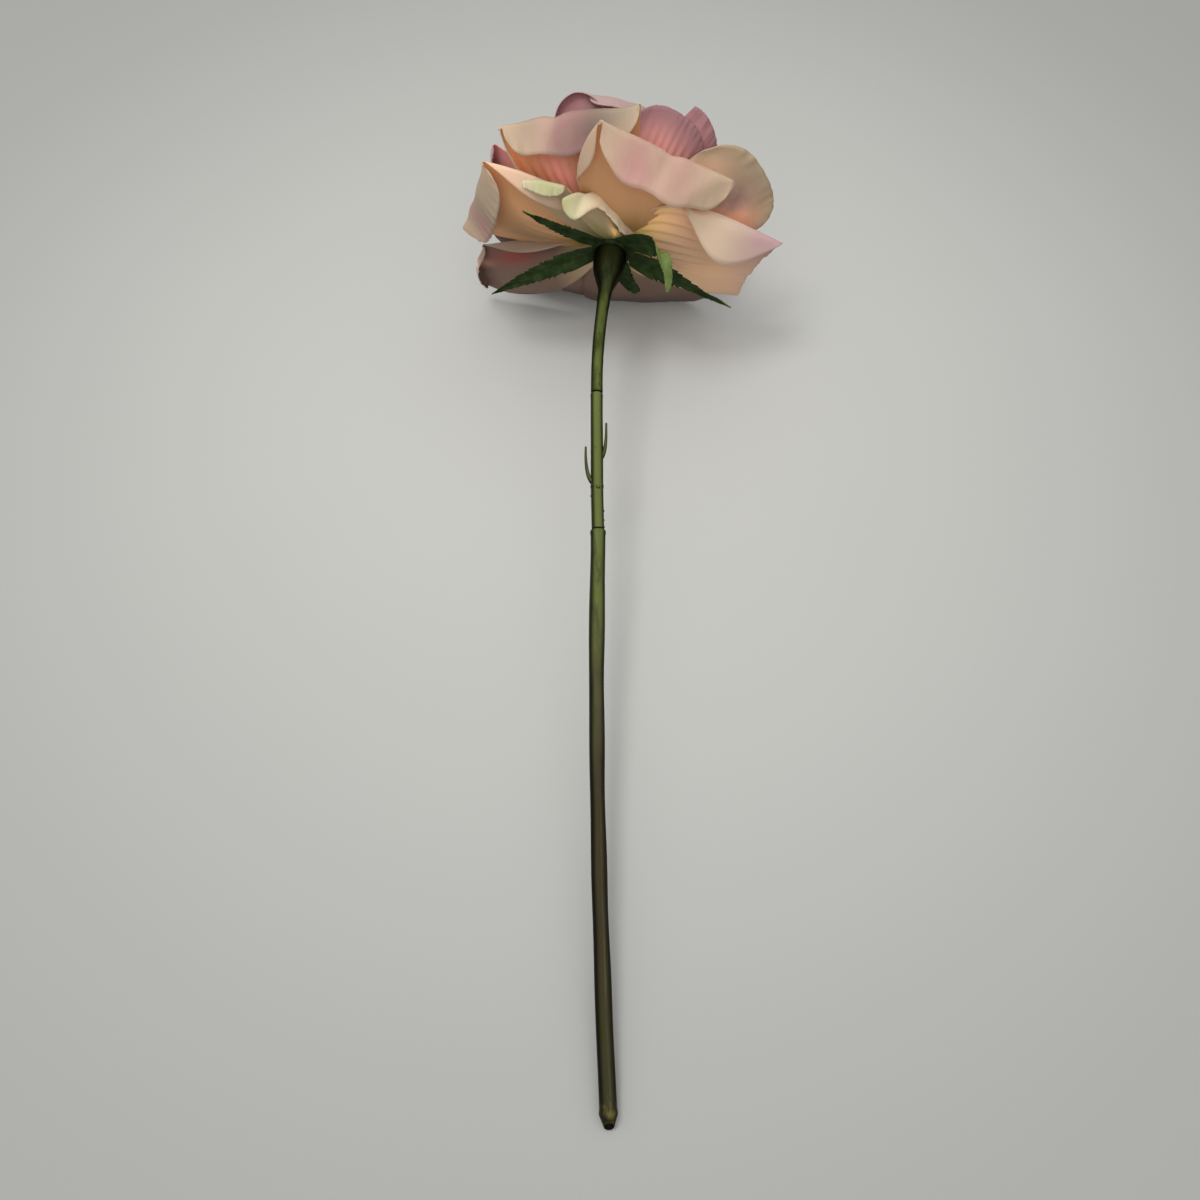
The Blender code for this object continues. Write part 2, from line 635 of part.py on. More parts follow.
def main():
    for thing in list(bpy.data.objects):
        bpy.data.objects.remove(thing)
    scene = bpy.context.scene.collection
    parts, joined, cutters = (bpy.data.collections.new(name) for name in ("silk_rose", "joined", "cutters"))
    for collection in (parts, joined, cutters):
        scene.children.link(collection)
    made = {
        "bloom": bloom(parts, joined, cutters),
        "sepals": sepals(parts, joined, cutters),
        "calyx": calyx(parts),
        "stem_upper": stem_upper(parts, joined),
        "stem_lower": stem_lower(parts),
        "wire_core": wire_core(parts),
    }
    for name, (slot, colour, roughness, metallic) in SLOTS.items():
        made[name].data.transform(Matrix.Translation(-FOOTPRINT_CENTRE * MM))
        made[name].data.materials.clear()
        made[name].data.materials.append(material(slot, colour, roughness, metallic))


if __name__ == "__main__":
    main()
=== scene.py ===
"""Looks for the silk rose: fine cloth petals and sepals, a moulded stem, a pale floor and soft light.

Lengths are written in millimetres and become metres where meshes are made. Angles are in degrees.
"""
import math
import random
from dataclasses import dataclass

import bmesh
import bpy
import numpy as np
from mathutils import Matrix, Vector


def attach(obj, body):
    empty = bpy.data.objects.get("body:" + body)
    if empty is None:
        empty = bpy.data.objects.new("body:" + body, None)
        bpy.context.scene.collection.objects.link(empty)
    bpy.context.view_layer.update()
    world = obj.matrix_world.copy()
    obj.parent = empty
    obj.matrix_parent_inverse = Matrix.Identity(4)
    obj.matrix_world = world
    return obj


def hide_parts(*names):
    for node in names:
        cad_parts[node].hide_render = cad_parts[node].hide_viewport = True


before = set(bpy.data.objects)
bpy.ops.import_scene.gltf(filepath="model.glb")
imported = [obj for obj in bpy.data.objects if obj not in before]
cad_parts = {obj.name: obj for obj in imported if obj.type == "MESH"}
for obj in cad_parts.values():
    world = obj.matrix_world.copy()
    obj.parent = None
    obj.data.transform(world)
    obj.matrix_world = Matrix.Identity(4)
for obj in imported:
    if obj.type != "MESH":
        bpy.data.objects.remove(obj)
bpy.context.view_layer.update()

SCENE = bpy.context.scene
MM = 0.001
# One unit of the cloth's maps.
CLOTH_UNIT = 100.0

# Where the object sits: the middle of its footprint is the origin.
MIDDLE = np.array([-1.0, -2.5, 0.0])
UPWARDS = np.array([0.0, 0.0, 1.0])

# The bloom: where its petals meet the calyx, and which way it faces.
BASE = np.array([-4.3, 118.0, 44.0])
BLOOM_YAW = 7.0
BLOOM_RISE = 6.0

# The stem: stations along Y from the cut end to the calyx.
CUT_END_Y = -165.0
NIPPLE_END_Y = -168.4
SLEEVE_TOP_Y = 9.3
NECK_Y = 59.8
AXIS_START_Y = 98.3
CUT_END_Z = 2.5
STEM_X = -9.4
# Where it bows aside towards each end, over which length, and by how much.
LOW_BOW = (-30.0, 138.0, 3.6)
HIGH_BOW = (62.0, 54.0, 5.7)
# How far below the petals' foot it meets the bloom's axis.
AXIS_START_DROP = 2.1
UPPER_R = 2.13
BORE_R = 1.0
WIRE_R = 0.65
WIRE_END_Y = 90.0
SPIGOT_R = 1.5
SPIGOT_LENGTH = 7.5
JOINT_GAP = 0.3
STEM_SIDES = 56

# The calyx and the peg that carries the sepals and the bloom.
CALYX_R = 6.0
CALYX_TOP = -1.6
PEG_R = 1.8
PEG_TOP = 5.0

# The core that the petals' roots meet in.
CORE_FOOT = -0.4
CORE_LENGTH = 12.0
CORE_FOOT_R = 5.2
CORE_TOP_R = 6.4

# Cloth pieces.
CLOTH_THICK = 0.35
SEPAL_HALF_WIDTH = 4.0
SEPAL_HUB_R = 7.2
SEPAL_HEIGHT = -1.0
LOWEST_CLOTH = 0.3


def bloom_axes():
    """Right, up and forward directions of the bloom, seen from its stem."""
    yaw, rise = math.radians(BLOOM_YAW), math.radians(BLOOM_RISE)
    forward = np.array([math.sin(yaw) * math.cos(rise), math.cos(yaw) * math.cos(rise), math.sin(rise)])
    right = np.array([math.cos(yaw), -math.sin(yaw), 0.0])
    return right, np.cross(right, forward), forward


RIGHT, UP, FORWARD = bloom_axes()


def polar(azimuth, radius, height):
    """Places in the bloom's frame from their angle round its axis, their radius and their height."""
    azimuth = np.radians(azimuth)
    return np.stack([radius * np.cos(azimuth), radius * np.sin(azimuth), height + 0 * azimuth], -1)


def from_bloom(points):
    """Places in millimetres of points in the bloom's frame."""
    return BASE + points[..., :1] * RIGHT + points[..., 1:2] * UP + points[..., 2:] * FORWARD


def unit(vectors):
    return vectors / np.maximum(np.linalg.norm(vectors, axis=-1, keepdims=True), 1e-9)


def curve(root, pull, tip, t):
    """Places and directions on the way from a root to a tip, drawn towards pull."""
    place = root * (1 - t) ** 2 + pull * 2 * t * (1 - t) + tip * t ** 2
    return place, unit((pull - root) * (1 - t) + (tip - pull) * t)


def stem_centre(y):
    """The stem's centre line: nearly straight, bowed at both ends, then along the bloom's axis."""
    y = np.asarray(y, float)
    (low_y, low_length, low_bow), (high_y, high_length, high_bow) = LOW_BOW, HIGH_BOW
    to_cut = np.maximum(low_y - y, 0) / low_length
    to_bloom = np.clip(y - high_y, 0, AXIS_START_Y - high_y) / high_length
    slope = (BASE[2] - CUT_END_Z - AXIS_START_DROP) / (AXIS_START_Y - CUT_END_Y)
    x = STEM_X + low_bow * to_cut ** 2 + high_bow * to_bloom ** 2
    line = np.stack([x, y, CUT_END_Z + slope * (y - CUT_END_Y)], -1)
    on_axis = BASE + ((y - BASE[1]) / FORWARD[1])[..., None] * FORWARD
    return np.where((y < AXIS_START_Y)[..., None], line, on_axis)


def station(height):
    """The station along Y of a height on the bloom's axis."""
    return BASE[1] + height * FORWARD[1]


def place(shape, places):
    """Moves the vertices of a bmesh to places in millimetres, counted from the middle of the footprint."""
    for vert, spot in zip(shape.verts, places - MIDDLE):
        vert.co = Vector(spot * MM)


def in_scene(name, data):
    """An object of the scene with its mesh, lamp or camera."""
    made = bpy.data.objects.new(name, data)
    SCENE.collection.objects.link(made)
    return made


def mesh_object(name, shape, materials):
    """An object of the scene from a bmesh."""
    mesh = bpy.data.meshes.new(name)
    shape.to_mesh(mesh)
    shape.free()
    for surface in materials:
        mesh.materials.append(surface)
    return in_scene(name, mesh)


def piece(name, shape, materials, node):
    """A finished piece of the rose from a bmesh."""
    made = mesh_object(name, shape, materials)
    made.data.polygons.foreach_set("use_smooth", [True] * len(made.data.polygons))
    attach(made, "root")
    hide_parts(node)
    return made


def disc_piece(name, radii, depth, height, sides, surface, node):
    """A closed round piece on the bloom's axis, with its two radii and its middle at a height."""
    shape = bmesh.new()
    low, high = radii
    bmesh.ops.create_cone(shape, cap_ends=True, segments=sides, radius1=low, radius2=high, depth=depth)
    local = np.array([vert.co for vert in shape.verts])
    place(shape, from_bloom(local + height * UPWARDS))
    bmesh.ops.reverse_faces(shape, faces=shape.faces)
    piece(name, shape, (surface,), node)


# Shader nodes.


def feed(tree, socket, value):
    """Feeds a socket with another socket or with a constant."""
    if isinstance(value, bpy.types.NodeSocket):
        tree.links.new(value, socket)
    elif socket.type == "RGBA":
        socket.default_value = (*value, 1.0)
    else:
        socket.default_value = value


def feed_all(tree, node, **inputs):
    """Feeds a node's inputs. An input's name has _ for a space."""
    for key, value in inputs.items():
        feed(tree, node.inputs[key.replace("_", " ")], value)
    return node


def add(tree, kind, settings=None, **inputs):
    """Adds a node with its settings and its inputs."""
    made = tree.nodes.new(kind)
    for key, value in (settings or {}).items():
        setattr(made, key, value)
    return feed_all(tree, made, **inputs)


def calc(tree, operation, *values, clamp=False):
    made = add(tree, "ShaderNodeMath", {"operation": operation, "use_clamp": clamp})
    for socket, value in zip(made.inputs, values):
        feed(tree, socket, value)
    return made.outputs[0]


# A mix node's inputs for its factor and two colours, and its output for a colour.
MIX_INPUTS = (0, 6, 7)
MIX_RESULT = 2


def blend(tree, factor, first, second, kind="MIX"):
    made = add(tree, "ShaderNodeMix", {"data_type": "RGBA", "blend_type": kind, "clamp_factor": True})
    for index, value in zip(MIX_INPUTS, (factor, first, second)):
        feed(tree, made.inputs[index], value)
    return made.outputs[MIX_RESULT]


def shaded(tree, colour, value):
    """A colour multiplied by a value."""
    grey = add(tree, "ShaderNodeCombineColor", Red=value, Green=value, Blue=value).outputs[0]
    return blend(tree, 1.0, colour, grey, "MULTIPLY")


def span(tree, value, low, high, to_low=0.0, to_high=1.0):
    """Maps a value smoothly from low..high to to_low..to_high, clamped."""
    return add(tree, "ShaderNodeMapRange", {"interpolation_type": "SMOOTHSTEP"}, Value=value, From_Min=low,
               From_Max=high, To_Min=to_low, To_Max=to_high).outputs["Result"]


def scaled(tree, vector, scale):
    return add(tree, "ShaderNodeMapping", Vector=vector, Scale=scale).outputs["Vector"]


def noise(tree, vector, scale, detail=2.0, roughness=0.5, distortion=0.0):
    return add(tree, "ShaderNodeTexNoise", Vector=vector, Scale=scale, Detail=detail, Roughness=roughness,
               Distortion=distortion).outputs["Fac"]


def total_height(tree, *parts):
    """The sum of the parts of a relief, each a pattern and its height in metres."""
    total = calc(tree, "MULTIPLY", *parts[0])
    for part in parts[1:]:
        total = calc(tree, "ADD", total, calc(tree, "MULTIPLY", *part))
    return total


def bumped(tree, height, strength):
    return add(tree, "ShaderNodeBump", Strength=strength, Distance=1.0, Height=height).outputs["Normal"]


def object_spot(tree):
    return add(tree, "ShaderNodeTexCoord").outputs["Object"]


def cloth_map(tree, name):
    return add(tree, "ShaderNodeUVMap", {"uv_map": name}).outputs["UV"]


def painted(tree, name):
    return add(tree, "ShaderNodeAttribute", {"attribute_name": name}).outputs["Fac"]


def new_group(name, inputs, outputs):
    """A shader node group with its sockets, whose names are given by kind."""
    tree = bpy.data.node_groups.new(name, "ShaderNodeTree")
    for way, kinds in (("INPUT", inputs), ("OUTPUT", outputs)):
        for kind, labels in kinds.items():
            for label in labels:
                tree.interface.new_socket(name=label, in_out=way, socket_type="NodeSocket" + kind)
    return tree, tree.nodes.new("NodeGroupInput").outputs, tree.nodes.new("NodeGroupOutput").inputs


def placed(tree, group, **inputs):
    return add(tree, "ShaderNodeGroup", {"node_tree": group}, **inputs).outputs


def new_material(name):
    """A material with its tree, its surface shader and its output."""
    surface = bpy.data.materials.new(name)
    surface.use_nodes = True
    tree = surface.node_tree
    return surface, tree, tree.nodes["Principled BSDF"], tree.nodes["Material Output"]


# Sprayed dye: where along a petal its root colour ends and its edge colour starts, how far they drift,
# and the scales of the drift, of the blush's clouds and of the streaks.
ROOT_COLOUR = (0.03, 0.4)
EDGE_COLOUR = (0.65, 1.0)
DYE_DRIFT = 0.16
DRIFT_SCALE = 45.0
CLOUD_SCALE = 70.0
STREAK_SCALE = (60.0, 5.0, 1.0)
# Cloth: the scales of its threads, veins and creases, the veins' width, and the strength of its relief.
THREAD_SCALE = 95.0
VEIN_SCALE = (38.0, 3.0, 1.0)
VEIN_WIDTH = 0.05
CREASE_SCALE = 120.0
CLOTH_BUMP = 0.6
# The share of light that comes through the silk, and its tint.
LIGHT_THROUGH = 0.35
THROUGH_TINT = (1.0, 0.8, 0.7)


def dye_and_painted_light_group():
    """Sprayed dye on a petal: root, middle and edge colours along it, a painted blush, painted light and
    shade, and faint streaks.
    """
    tree, given, out = new_group(
        "sprayed_dye_and_painted_light", {"Float": ("Along", "Blush", "Tone"), "Vector": ("Spot", "Thread"),
                        "Color": ("Root", "Middle", "Edge", "Blush Colour")}, {"Color": ("Color",)})
    drift = noise(tree, given["Spot"], DRIFT_SCALE, 3.0)
    drift = calc(tree, "MULTIPLY_ADD", drift, DYE_DRIFT, -DYE_DRIFT / 2)
    along = calc(tree, "ADD", given["Along"], drift)
    colour = blend(tree, span(tree, along, *ROOT_COLOUR), given["Root"], given["Middle"])
    colour = blend(tree, span(tree, along, *EDGE_COLOUR), colour, given["Edge"])
    cloud = noise(tree, given["Spot"], CLOUD_SCALE, 3.0, 0.6)
    # The blush; on the far and low petals its colour is painted shade.
    blush_and_shade = calc(tree, "MULTIPLY", given["Blush"], span(tree, cloud, 0.25, 0.6, 0.55, 1.0), clamp=True)
    colour = blend(tree, blush_and_shade, colour, given["Blush Colour"])
    streak = noise(tree, scaled(tree, given["Thread"], STREAK_SCALE), 1.0, 3.0, 0.6)
    # Painted light and shade: the dye is made lighter or darker spot by spot.
    value = calc(tree, "MULTIPLY", span(tree, streak, 0.3, 0.7, 0.99, 1.01), given["Tone"])
    tree.links.new(shaded(tree, colour, value), out["Color"])
    return tree


def weave_group():
    """Relief of thin cloth, in metres: two sets of threads, pressed veins along it and creases."""
    tree, given, out = new_group(
        "cloth_relief", {"Vector": ("Thread", "Spot"), "Float": ("Veins", "Creases", "Weave")},
        {"Float": ("Height", "Worn")})
    warp, weft = (add(tree, "ShaderNodeTexWave", {"bands_direction": way}, Vector=given["Thread"],
                      Scale=THREAD_SCALE, Distortion=0.6, Detail=1.0).outputs["Fac"] for way in "XY")
    vein = noise(tree, scaled(tree, given["Thread"], VEIN_SCALE), 1.0, 2.0, 0.4)
    vein = calc(tree, "ABSOLUTE", calc(tree, "SUBTRACT", vein, 0.5))
    crease = noise(tree, given["Spot"], CREASE_SCALE, 4.0, 0.55, 0.4)
    height = total_height(tree, (calc(tree, "MAXIMUM", warp, weft), given["Weave"]),
                          (span(tree, vein, 0.0, VEIN_WIDTH), given["Veins"]), (crease, given["Creases"]))
    tree.links.new(height, out["Height"])
    tree.links.new(crease, out["Worn"])
    return tree


DYE_AND_PAINTED_LIGHT = dye_and_painted_light_group()
WEAVE = weave_group()


def silk(name, root, middle, edge, blush_and_shade):
    """Dyed petal silk, with light that comes through it."""
    surface, tree, shader, output = new_material(name)
    thread, spot = cloth_map(tree, "thread"), object_spot(tree)
    along = add(tree, "ShaderNodeSeparateXYZ", Vector=cloth_map(tree, "dye")).outputs["Y"]
    # The sheet's painted blush and painted light and shade colour the dye.
    dyed_and_painted_light = placed(tree, DYE_AND_PAINTED_LIGHT, Along=along, Blush=painted(tree, "blush_and_shade"), Tone=painted(tree, "light_and_shade"),
                  Spot=spot, Thread=thread, Root=root, Middle=middle, Edge=edge, Blush_Colour=blush_and_shade)
    relief = placed(tree, WEAVE, Thread=thread, Spot=spot, Veins=0.000036, Creases=0.00036, Weave=0.000028)
    bump = bumped(tree, relief["Height"], CLOTH_BUMP)
    roughness = span(tree, relief["Worn"], 0.3, 0.7, 0.52, 0.68)
    feed_all(tree, shader, Base_Color=dyed_and_painted_light["Color"], Roughness=roughness, Specular_IOR_Level=0.35,
             Sheen_Weight=0.12, Sheen_Roughness=0.4, Normal=bump)
    through = add(tree, "ShaderNodeBsdfTranslucent", Normal=bump,
                  Color=blend(tree, 1.0, dyed_and_painted_light["Color"], THROUGH_TINT, "MULTIPLY"))
    mixed = add(tree, "ShaderNodeMixShader")
    shares = (LIGHT_THROUGH, shader.outputs["BSDF"], through.outputs["BSDF"])
    for socket, value in zip(mixed.inputs, shares):
        feed(tree, socket, value)
    tree.links.new(mixed.outputs["Shader"], output.inputs["Surface"])
    return surface


# Petals.


@dataclass
class Flap:
    """A rim rolled back over the petal's outer side: how deep it is and how far it turns.

    It rolls round a radius and then curls. At a crest it is deepest at peak, squarer where full is large,
    wavy by lobe, and spread by flare. At a side it begins at start. It is at least as deep as least.
    """
    depth: float
    turn: float
    radius: float = 1.2
    curl: float = 0.0
    full: float = 2.4
    peak: float = 0.0
    lobe: float = 0.0
    lobes: float = 2.5
    shift: float = 0.0
    start: float = 0.1
    least: float = 1.5
    flare: float = 0.0


@dataclass
class Petal:
    """A cloth petal from its root to a crest between two corners.

    A corner is an azimuth, a radius and a height in the bloom's frame. The crest arches by arch, rounder
    where dome is large, and leans left or right by lean. Each side bows out by bow, nearest the root where
    hip is small. Belly pushes the middle outwards and sag the whole width.
    """
    name: str
    dye: str
    azimuth: float
    left: tuple
    right: tuple
    root_r: float = 5.0
    root_z: float = 3.0
    arch: float = 2.0
    dome: float = 1.0
    lean: float = 0.0
    bow: tuple = (4.0, 4.0)
    hip: tuple = (0.8, 0.8)
    belly: float = 3.0
    sag: float = 0.0
    lowest: float = LOWEST_CLOTH
    top: Flap = None
    left_flap: Flap = None
    right_flap: Flap = None


# Half the angle that a petal's root covers.
ROOT_HALF = 25.0
# A flap curls over this length, and a crest's roll tightens by this share towards its ends.
CURL_LENGTH = 20.0
ROLL_TIGHTENS = 0.4
# Rims are measured just inside the petal.
NEAR_SIDE = 0.999
NEAR_ENDS = (0.02, 0.98)
# Rows over a crest's flap and columns over a side's.
TOP_ROWS = 10
SIDE_COLS = 8


def body(petal, u, v):
    """The petal before its rims are rolled, and the way outwards.

    U is -1 at its right side and 1 at its left, and v runs from its root to its crest.
    """
    u, v = u[..., None], v[..., None]
    left, right = polar(*petal.left), polar(*petal.right)
    root = polar(petal.azimuth + u[..., 0] * ROOT_HALF, petal.root_r, petal.root_z)
    along = unit((left + right) / 2 - polar(petal.azimuth, petal.root_r, petal.root_z))
    across = unit(left - right)
    out = unit(np.cross(across, along))
    out = out * np.sign((out * polar(petal.azimuth, 1.0, -1.0)).sum())
    dome = np.maximum(1 - np.abs(u) ** (1 + petal.dome), 0) ** (1 / petal.dome)
    crest = left * (1 + u) / 2 + right * (1 - u) / 2 + petal.arch * dome * (along + petal.lean * across)
    is_left = u > 0
    bow = np.where(is_left, *petal.bow)
    rise = np.maximum(v, 0) ** np.where(is_left, *petal.hip)
    hump = 4 * v * (1 - v)
    place = root * (1 - v) + crest * v
    place = place + across * np.sign(u) * np.abs(u) ** 1.5 * bow * 4 * rise * (1 - rise)
    place = place + out * (petal.belly * (1 - u ** 2) + petal.sag) * hump
    return place, out


def crease(petal, u, v, side):
    """The ways along a rim and off the petal, and its outward normal.

    Side is 0 for the crest, 1 for the left side and -1 for the right one.
    """
    step = 1e-3
    along_u = body(petal, u + step, v)[0] - body(petal, u - step, v)[0]
    along_v = body(petal, u, v + step)[0] - body(petal, u, v - step)[0]
    out = body(petal, u, v)[1]
    normal = unit(np.cross(along_u, along_v))
    normal = normal * np.sign((normal * out).sum(-1, keepdims=True))
    line, off = (unit(along_v), along_u * side) if side else (unit(along_u), along_v)
    off = off - (off * line).sum(-1, keepdims=True) * line
    return line, unit(off), normal


def rolled(length, radius, flap):
    """How far a strip of a length reaches off the petal and out from it, once it is rolled back."""
    turn = math.radians(flap.turn)
    angle = np.clip(length / radius, 0, turn)
    rest = np.maximum(length - radius * turn, 0)
    bend = math.radians(flap.curl) / CURL_LENGTH
    reach = rest * np.cos(turn + bend * rest)
    lift = rest * np.sin(turn + bend * rest)
    return radius * np.sin(angle) + reach, radius * (1 - np.cos(angle)) + lift


def petal_points(petal, u, v, past_crest, past_side):
    """Bloom-frame places. Past_crest is 0..1 over the crest's flap, past_side -1..1 over the side flaps."""
    place = body(petal, u, v)[0]
    if petal.top:
        flap = petal.top
        inner_u = np.clip(u, -NEAR_SIDE, NEAR_SIDE)
        evenness = np.abs(inner_u - flap.peak * (1 - inner_u ** 2)) ** flap.full
        depth = flap.depth * np.sqrt(np.maximum(1 - evenness, 0))
        depth = depth * (1 + flap.lobe * np.cos(flap.lobes * np.pi * inner_u + np.radians(flap.shift)))
        line, off, normal = crease(petal, inner_u, np.ones_like(v), 0)
        length = past_crest * (depth + flap.least)
        reach, lift = rolled(length, flap.radius * (1 - ROLL_TIGHTENS * inner_u ** 2), flap)
        aside = flap.flare * inner_u * length
        place = place + off * reach[..., None] + normal * lift[..., None] + line * aside[..., None]
    for flap, side in ((petal.left_flap, 1), (petal.right_flap, -1)):
        if not flap:
            continue
        past = np.maximum(past_side * side, 0)
        up_side = np.clip((v - flap.start) / (1 - flap.start), 0, 1)
        depth = flap.depth * np.sin(np.pi * up_side) + flap.least
        off, normal = crease(petal, np.full_like(u, NEAR_SIDE * side), np.clip(v, *NEAR_ENDS), side)[1:]
        reach, lift = rolled(past * depth, flap.radius, flap)
        place = place + off * reach[..., None] + normal * lift[..., None]
    return place


def petal_grid(petal, cells):
    """Tables of u, v, past_crest and past_side for the rows and columns of a petal's grid."""
    body_cols, body_rows = cells
    right_cols = SIDE_COLS if petal.right_flap else 0
    left_cols = SIDE_COLS if petal.left_flap else 0
    rows = body_rows + (TOP_ROWS if petal.top else 0)
    cols = right_cols + body_cols + left_cols
    col, row = np.meshgrid(np.arange(cols + 1.0), np.arange(rows + 1.0))
    u = np.clip((col - right_cols) / body_cols, 0, 1) * 2 - 1
    v = np.clip(row / body_rows, 0, 1)
    past_crest = np.maximum(row - body_rows, 0) / TOP_ROWS
    past_side = (np.maximum(col - right_cols - body_cols, 0) - np.maximum(right_cols - col, 0)) / SIDE_COLS
    return u, v, past_crest, past_side


# Petals seen from behind, outermost first.
SHOWN_PETALS = (
    Petal("over_calyx", "calyx_side", 88, (121, 31, -2), (41, 10, 6), root_r=4, root_z=1, arch=9, dome=1,
          lean=-0.3, bow=(2, 2), belly=1,
          top=Flap(7, 150, radius=1, full=5, lobe=0.25, lobes=2, shift=180, flare=0.6)),
    Petal("beside_calyx", "calyx_side", 128, (141, 41, 3), (118, 33, 1), root_r=4, root_z=1.5, arch=3,
          dome=1, lean=0.3, bow=(4, 2), hip=(1.2, 0.8), belly=2,
          top=Flap(5, 140, radius=1, full=1.8, peak=-0.5, least=1)),
    Petal("left", "outer", 165, (184, 55, 8), (143.5, 54, 6), arch=-1, bow=(4, 9), belly=4,
          top=Flap(15, 150, curl=10, full=2.2), right_flap=Flap(8, 150)),
    Petal("low_left", "low", 206, (217, 62, 8), (196, 50, 8), arch=3, bow=(16, 1), belly=5,
          top=Flap(4, 140, full=3), right_flap=Flap(6, 150)),
    Petal("under", "low", 285, (314, 53, 14), (254, 43, 10), arch=8, dome=1.8, bow=(5, 5)),
    Petal("right", "right", -5, (2, 60, 8), (-34, 58, 10), arch=-2, bow=(22, 11), hip=(0.4, 0.5),
          left_flap=Flap(16, 145, radius=1.6, start=0.2)),
    Petal("top_left", "outer", 115, (139, 52, 20), (81, 49, 20), root_z=4, arch=0, bow=(8, 3), belly=4,
          top=Flap(15, 145, curl=8, full=2.2, lobe=0.06), left_flap=Flap(4, 150)),
    Petal("top_right", "outer", 64, (93.5, 55, 6), (35, 50, 10), arch=-1, bow=(10, 2), belly=4,
          top=Flap(16, 145, curl=6, full=2.5, lobe=0.05, lobes=3, shift=90),
          left_flap=Flap(6, 145, start=0.42)),
    Petal("far_right", "far", 22, (47, 43, 20), (0, 48, 12), root_z=4, arch=15, dome=2, bow=(3, 8),
          belly=4),
    Petal("second_left", "low", 195, (225, 46, 15), (178, 48, 16), root_z=4, arch=8, dome=2, lowest=1.6),
    Petal("second_low", "low", 240, (264, 44, 13), (215, 52, 13), root_z=4, arch=9, dome=2),
    Petal("second_right", "low", 305, (335, 46, 16), (285, 40, 16), root_z=4, arch=8, dome=2, lowest=1.6),
    Petal("crown_left", "crown", 108, (123, 40, 25), (97, 38, 27), root_z=5, arch=6, dome=0.9, bow=(2, 2),
          belly=4, top=Flap(2, 100, radius=1.5)),
    Petal("crown_right", "crown", 60, (81, 39, 26), (42, 39, 22), root_z=5, arch=8, dome=1.6, bow=(2, 4),
          belly=4, right_flap=Flap(6, 110, radius=2.2, start=0.2, least=0.2)),
    Petal("third_left", "crown", 165, (185, 42, 20), (149, 49.5, 20), root_z=5, arch=2, dome=1,
          top=Flap(4, 140)),
    Petal("third_low_left", "crown", 225, (250, 36, 24), (200, 40, 24), root_z=5, arch=7, dome=2, belly=4),
    Petal("third_low_right", "crown", 310, (338, 38, 24), (282, 36, 24), root_z=5, arch=7, dome=2, belly=4),
    Petal("back_crown_left", "crown", 90, (105, 42, 30), (78, 38, 30), root_z=6, arch=0, top=Flap(5, 140)),
    Petal("back_crown_right", "crown", 50, (57, 46, 32), (38, 43, 27), root_z=6, arch=2, dome=1),
)

# Rings of alike petals nearer the middle of the bloom: how many, the first azimuth, half the angle that one
# covers, its radius and height, its arch and its sag.
RINGS = (
    (4, 145, 26, 35, 33, 6, 4),
    (5, 20, 40, 25, 38, 5, 6),
    (4, 60, 48, 16, 41, 4, 6),
    (3, 15, 58, 9, 43, 3, 4),
)
# The first ring's petals stand close, by this angle, with room for the crown petals at the top.
FIRST_RING_STEP = 60


def ring_petals():
    """The petals of the inner rings."""
    draw = random.Random(7)
    found = []
    for number, (count, start, spread, radius, height, arch, sag) in enumerate(RINGS):
        step = 360 / count if number else FIRST_RING_STEP
        for place in range(count):
            azimuth = start + place * step + draw.uniform(-4, 4)
            left = (azimuth + spread, radius * draw.uniform(0.96, 1.04), height)
            right = (azimuth - spread, left[1] * 0.86, height - 1.5)
            found.append(Petal(f"ring_{number}_{place}", "crown", azimuth, left, right, root_r=3,
                               root_z=7, arch=arch, dome=2, bow=(3, 3), belly=2, sag=sag))
    return found


@dataclass
class Touch:
    """What only the fine petal has: pleats, ripples, a frayed rim, a painted blush and painted light and
    shade.

    Pleats is (how many, height, how far from the root), and rim is how far the free edge ripples. A dent is
    (u, w, angle, length, width, depth). A blush is (u, w, size, amount); on some petals its colour is painted
    shade. A spot of painted light and shade is given the same way and makes the dye lighter or darker. W is 0
    at the root and 1 at the free edge.
    """
    pleats: tuple = (0, 0.0, 0.5)
    ripple: float = 0.35
    rim: float = 0.25
    dents: tuple = ()
    blushes_and_shades: tuple = ()
    lights_and_shades: tuple = ()
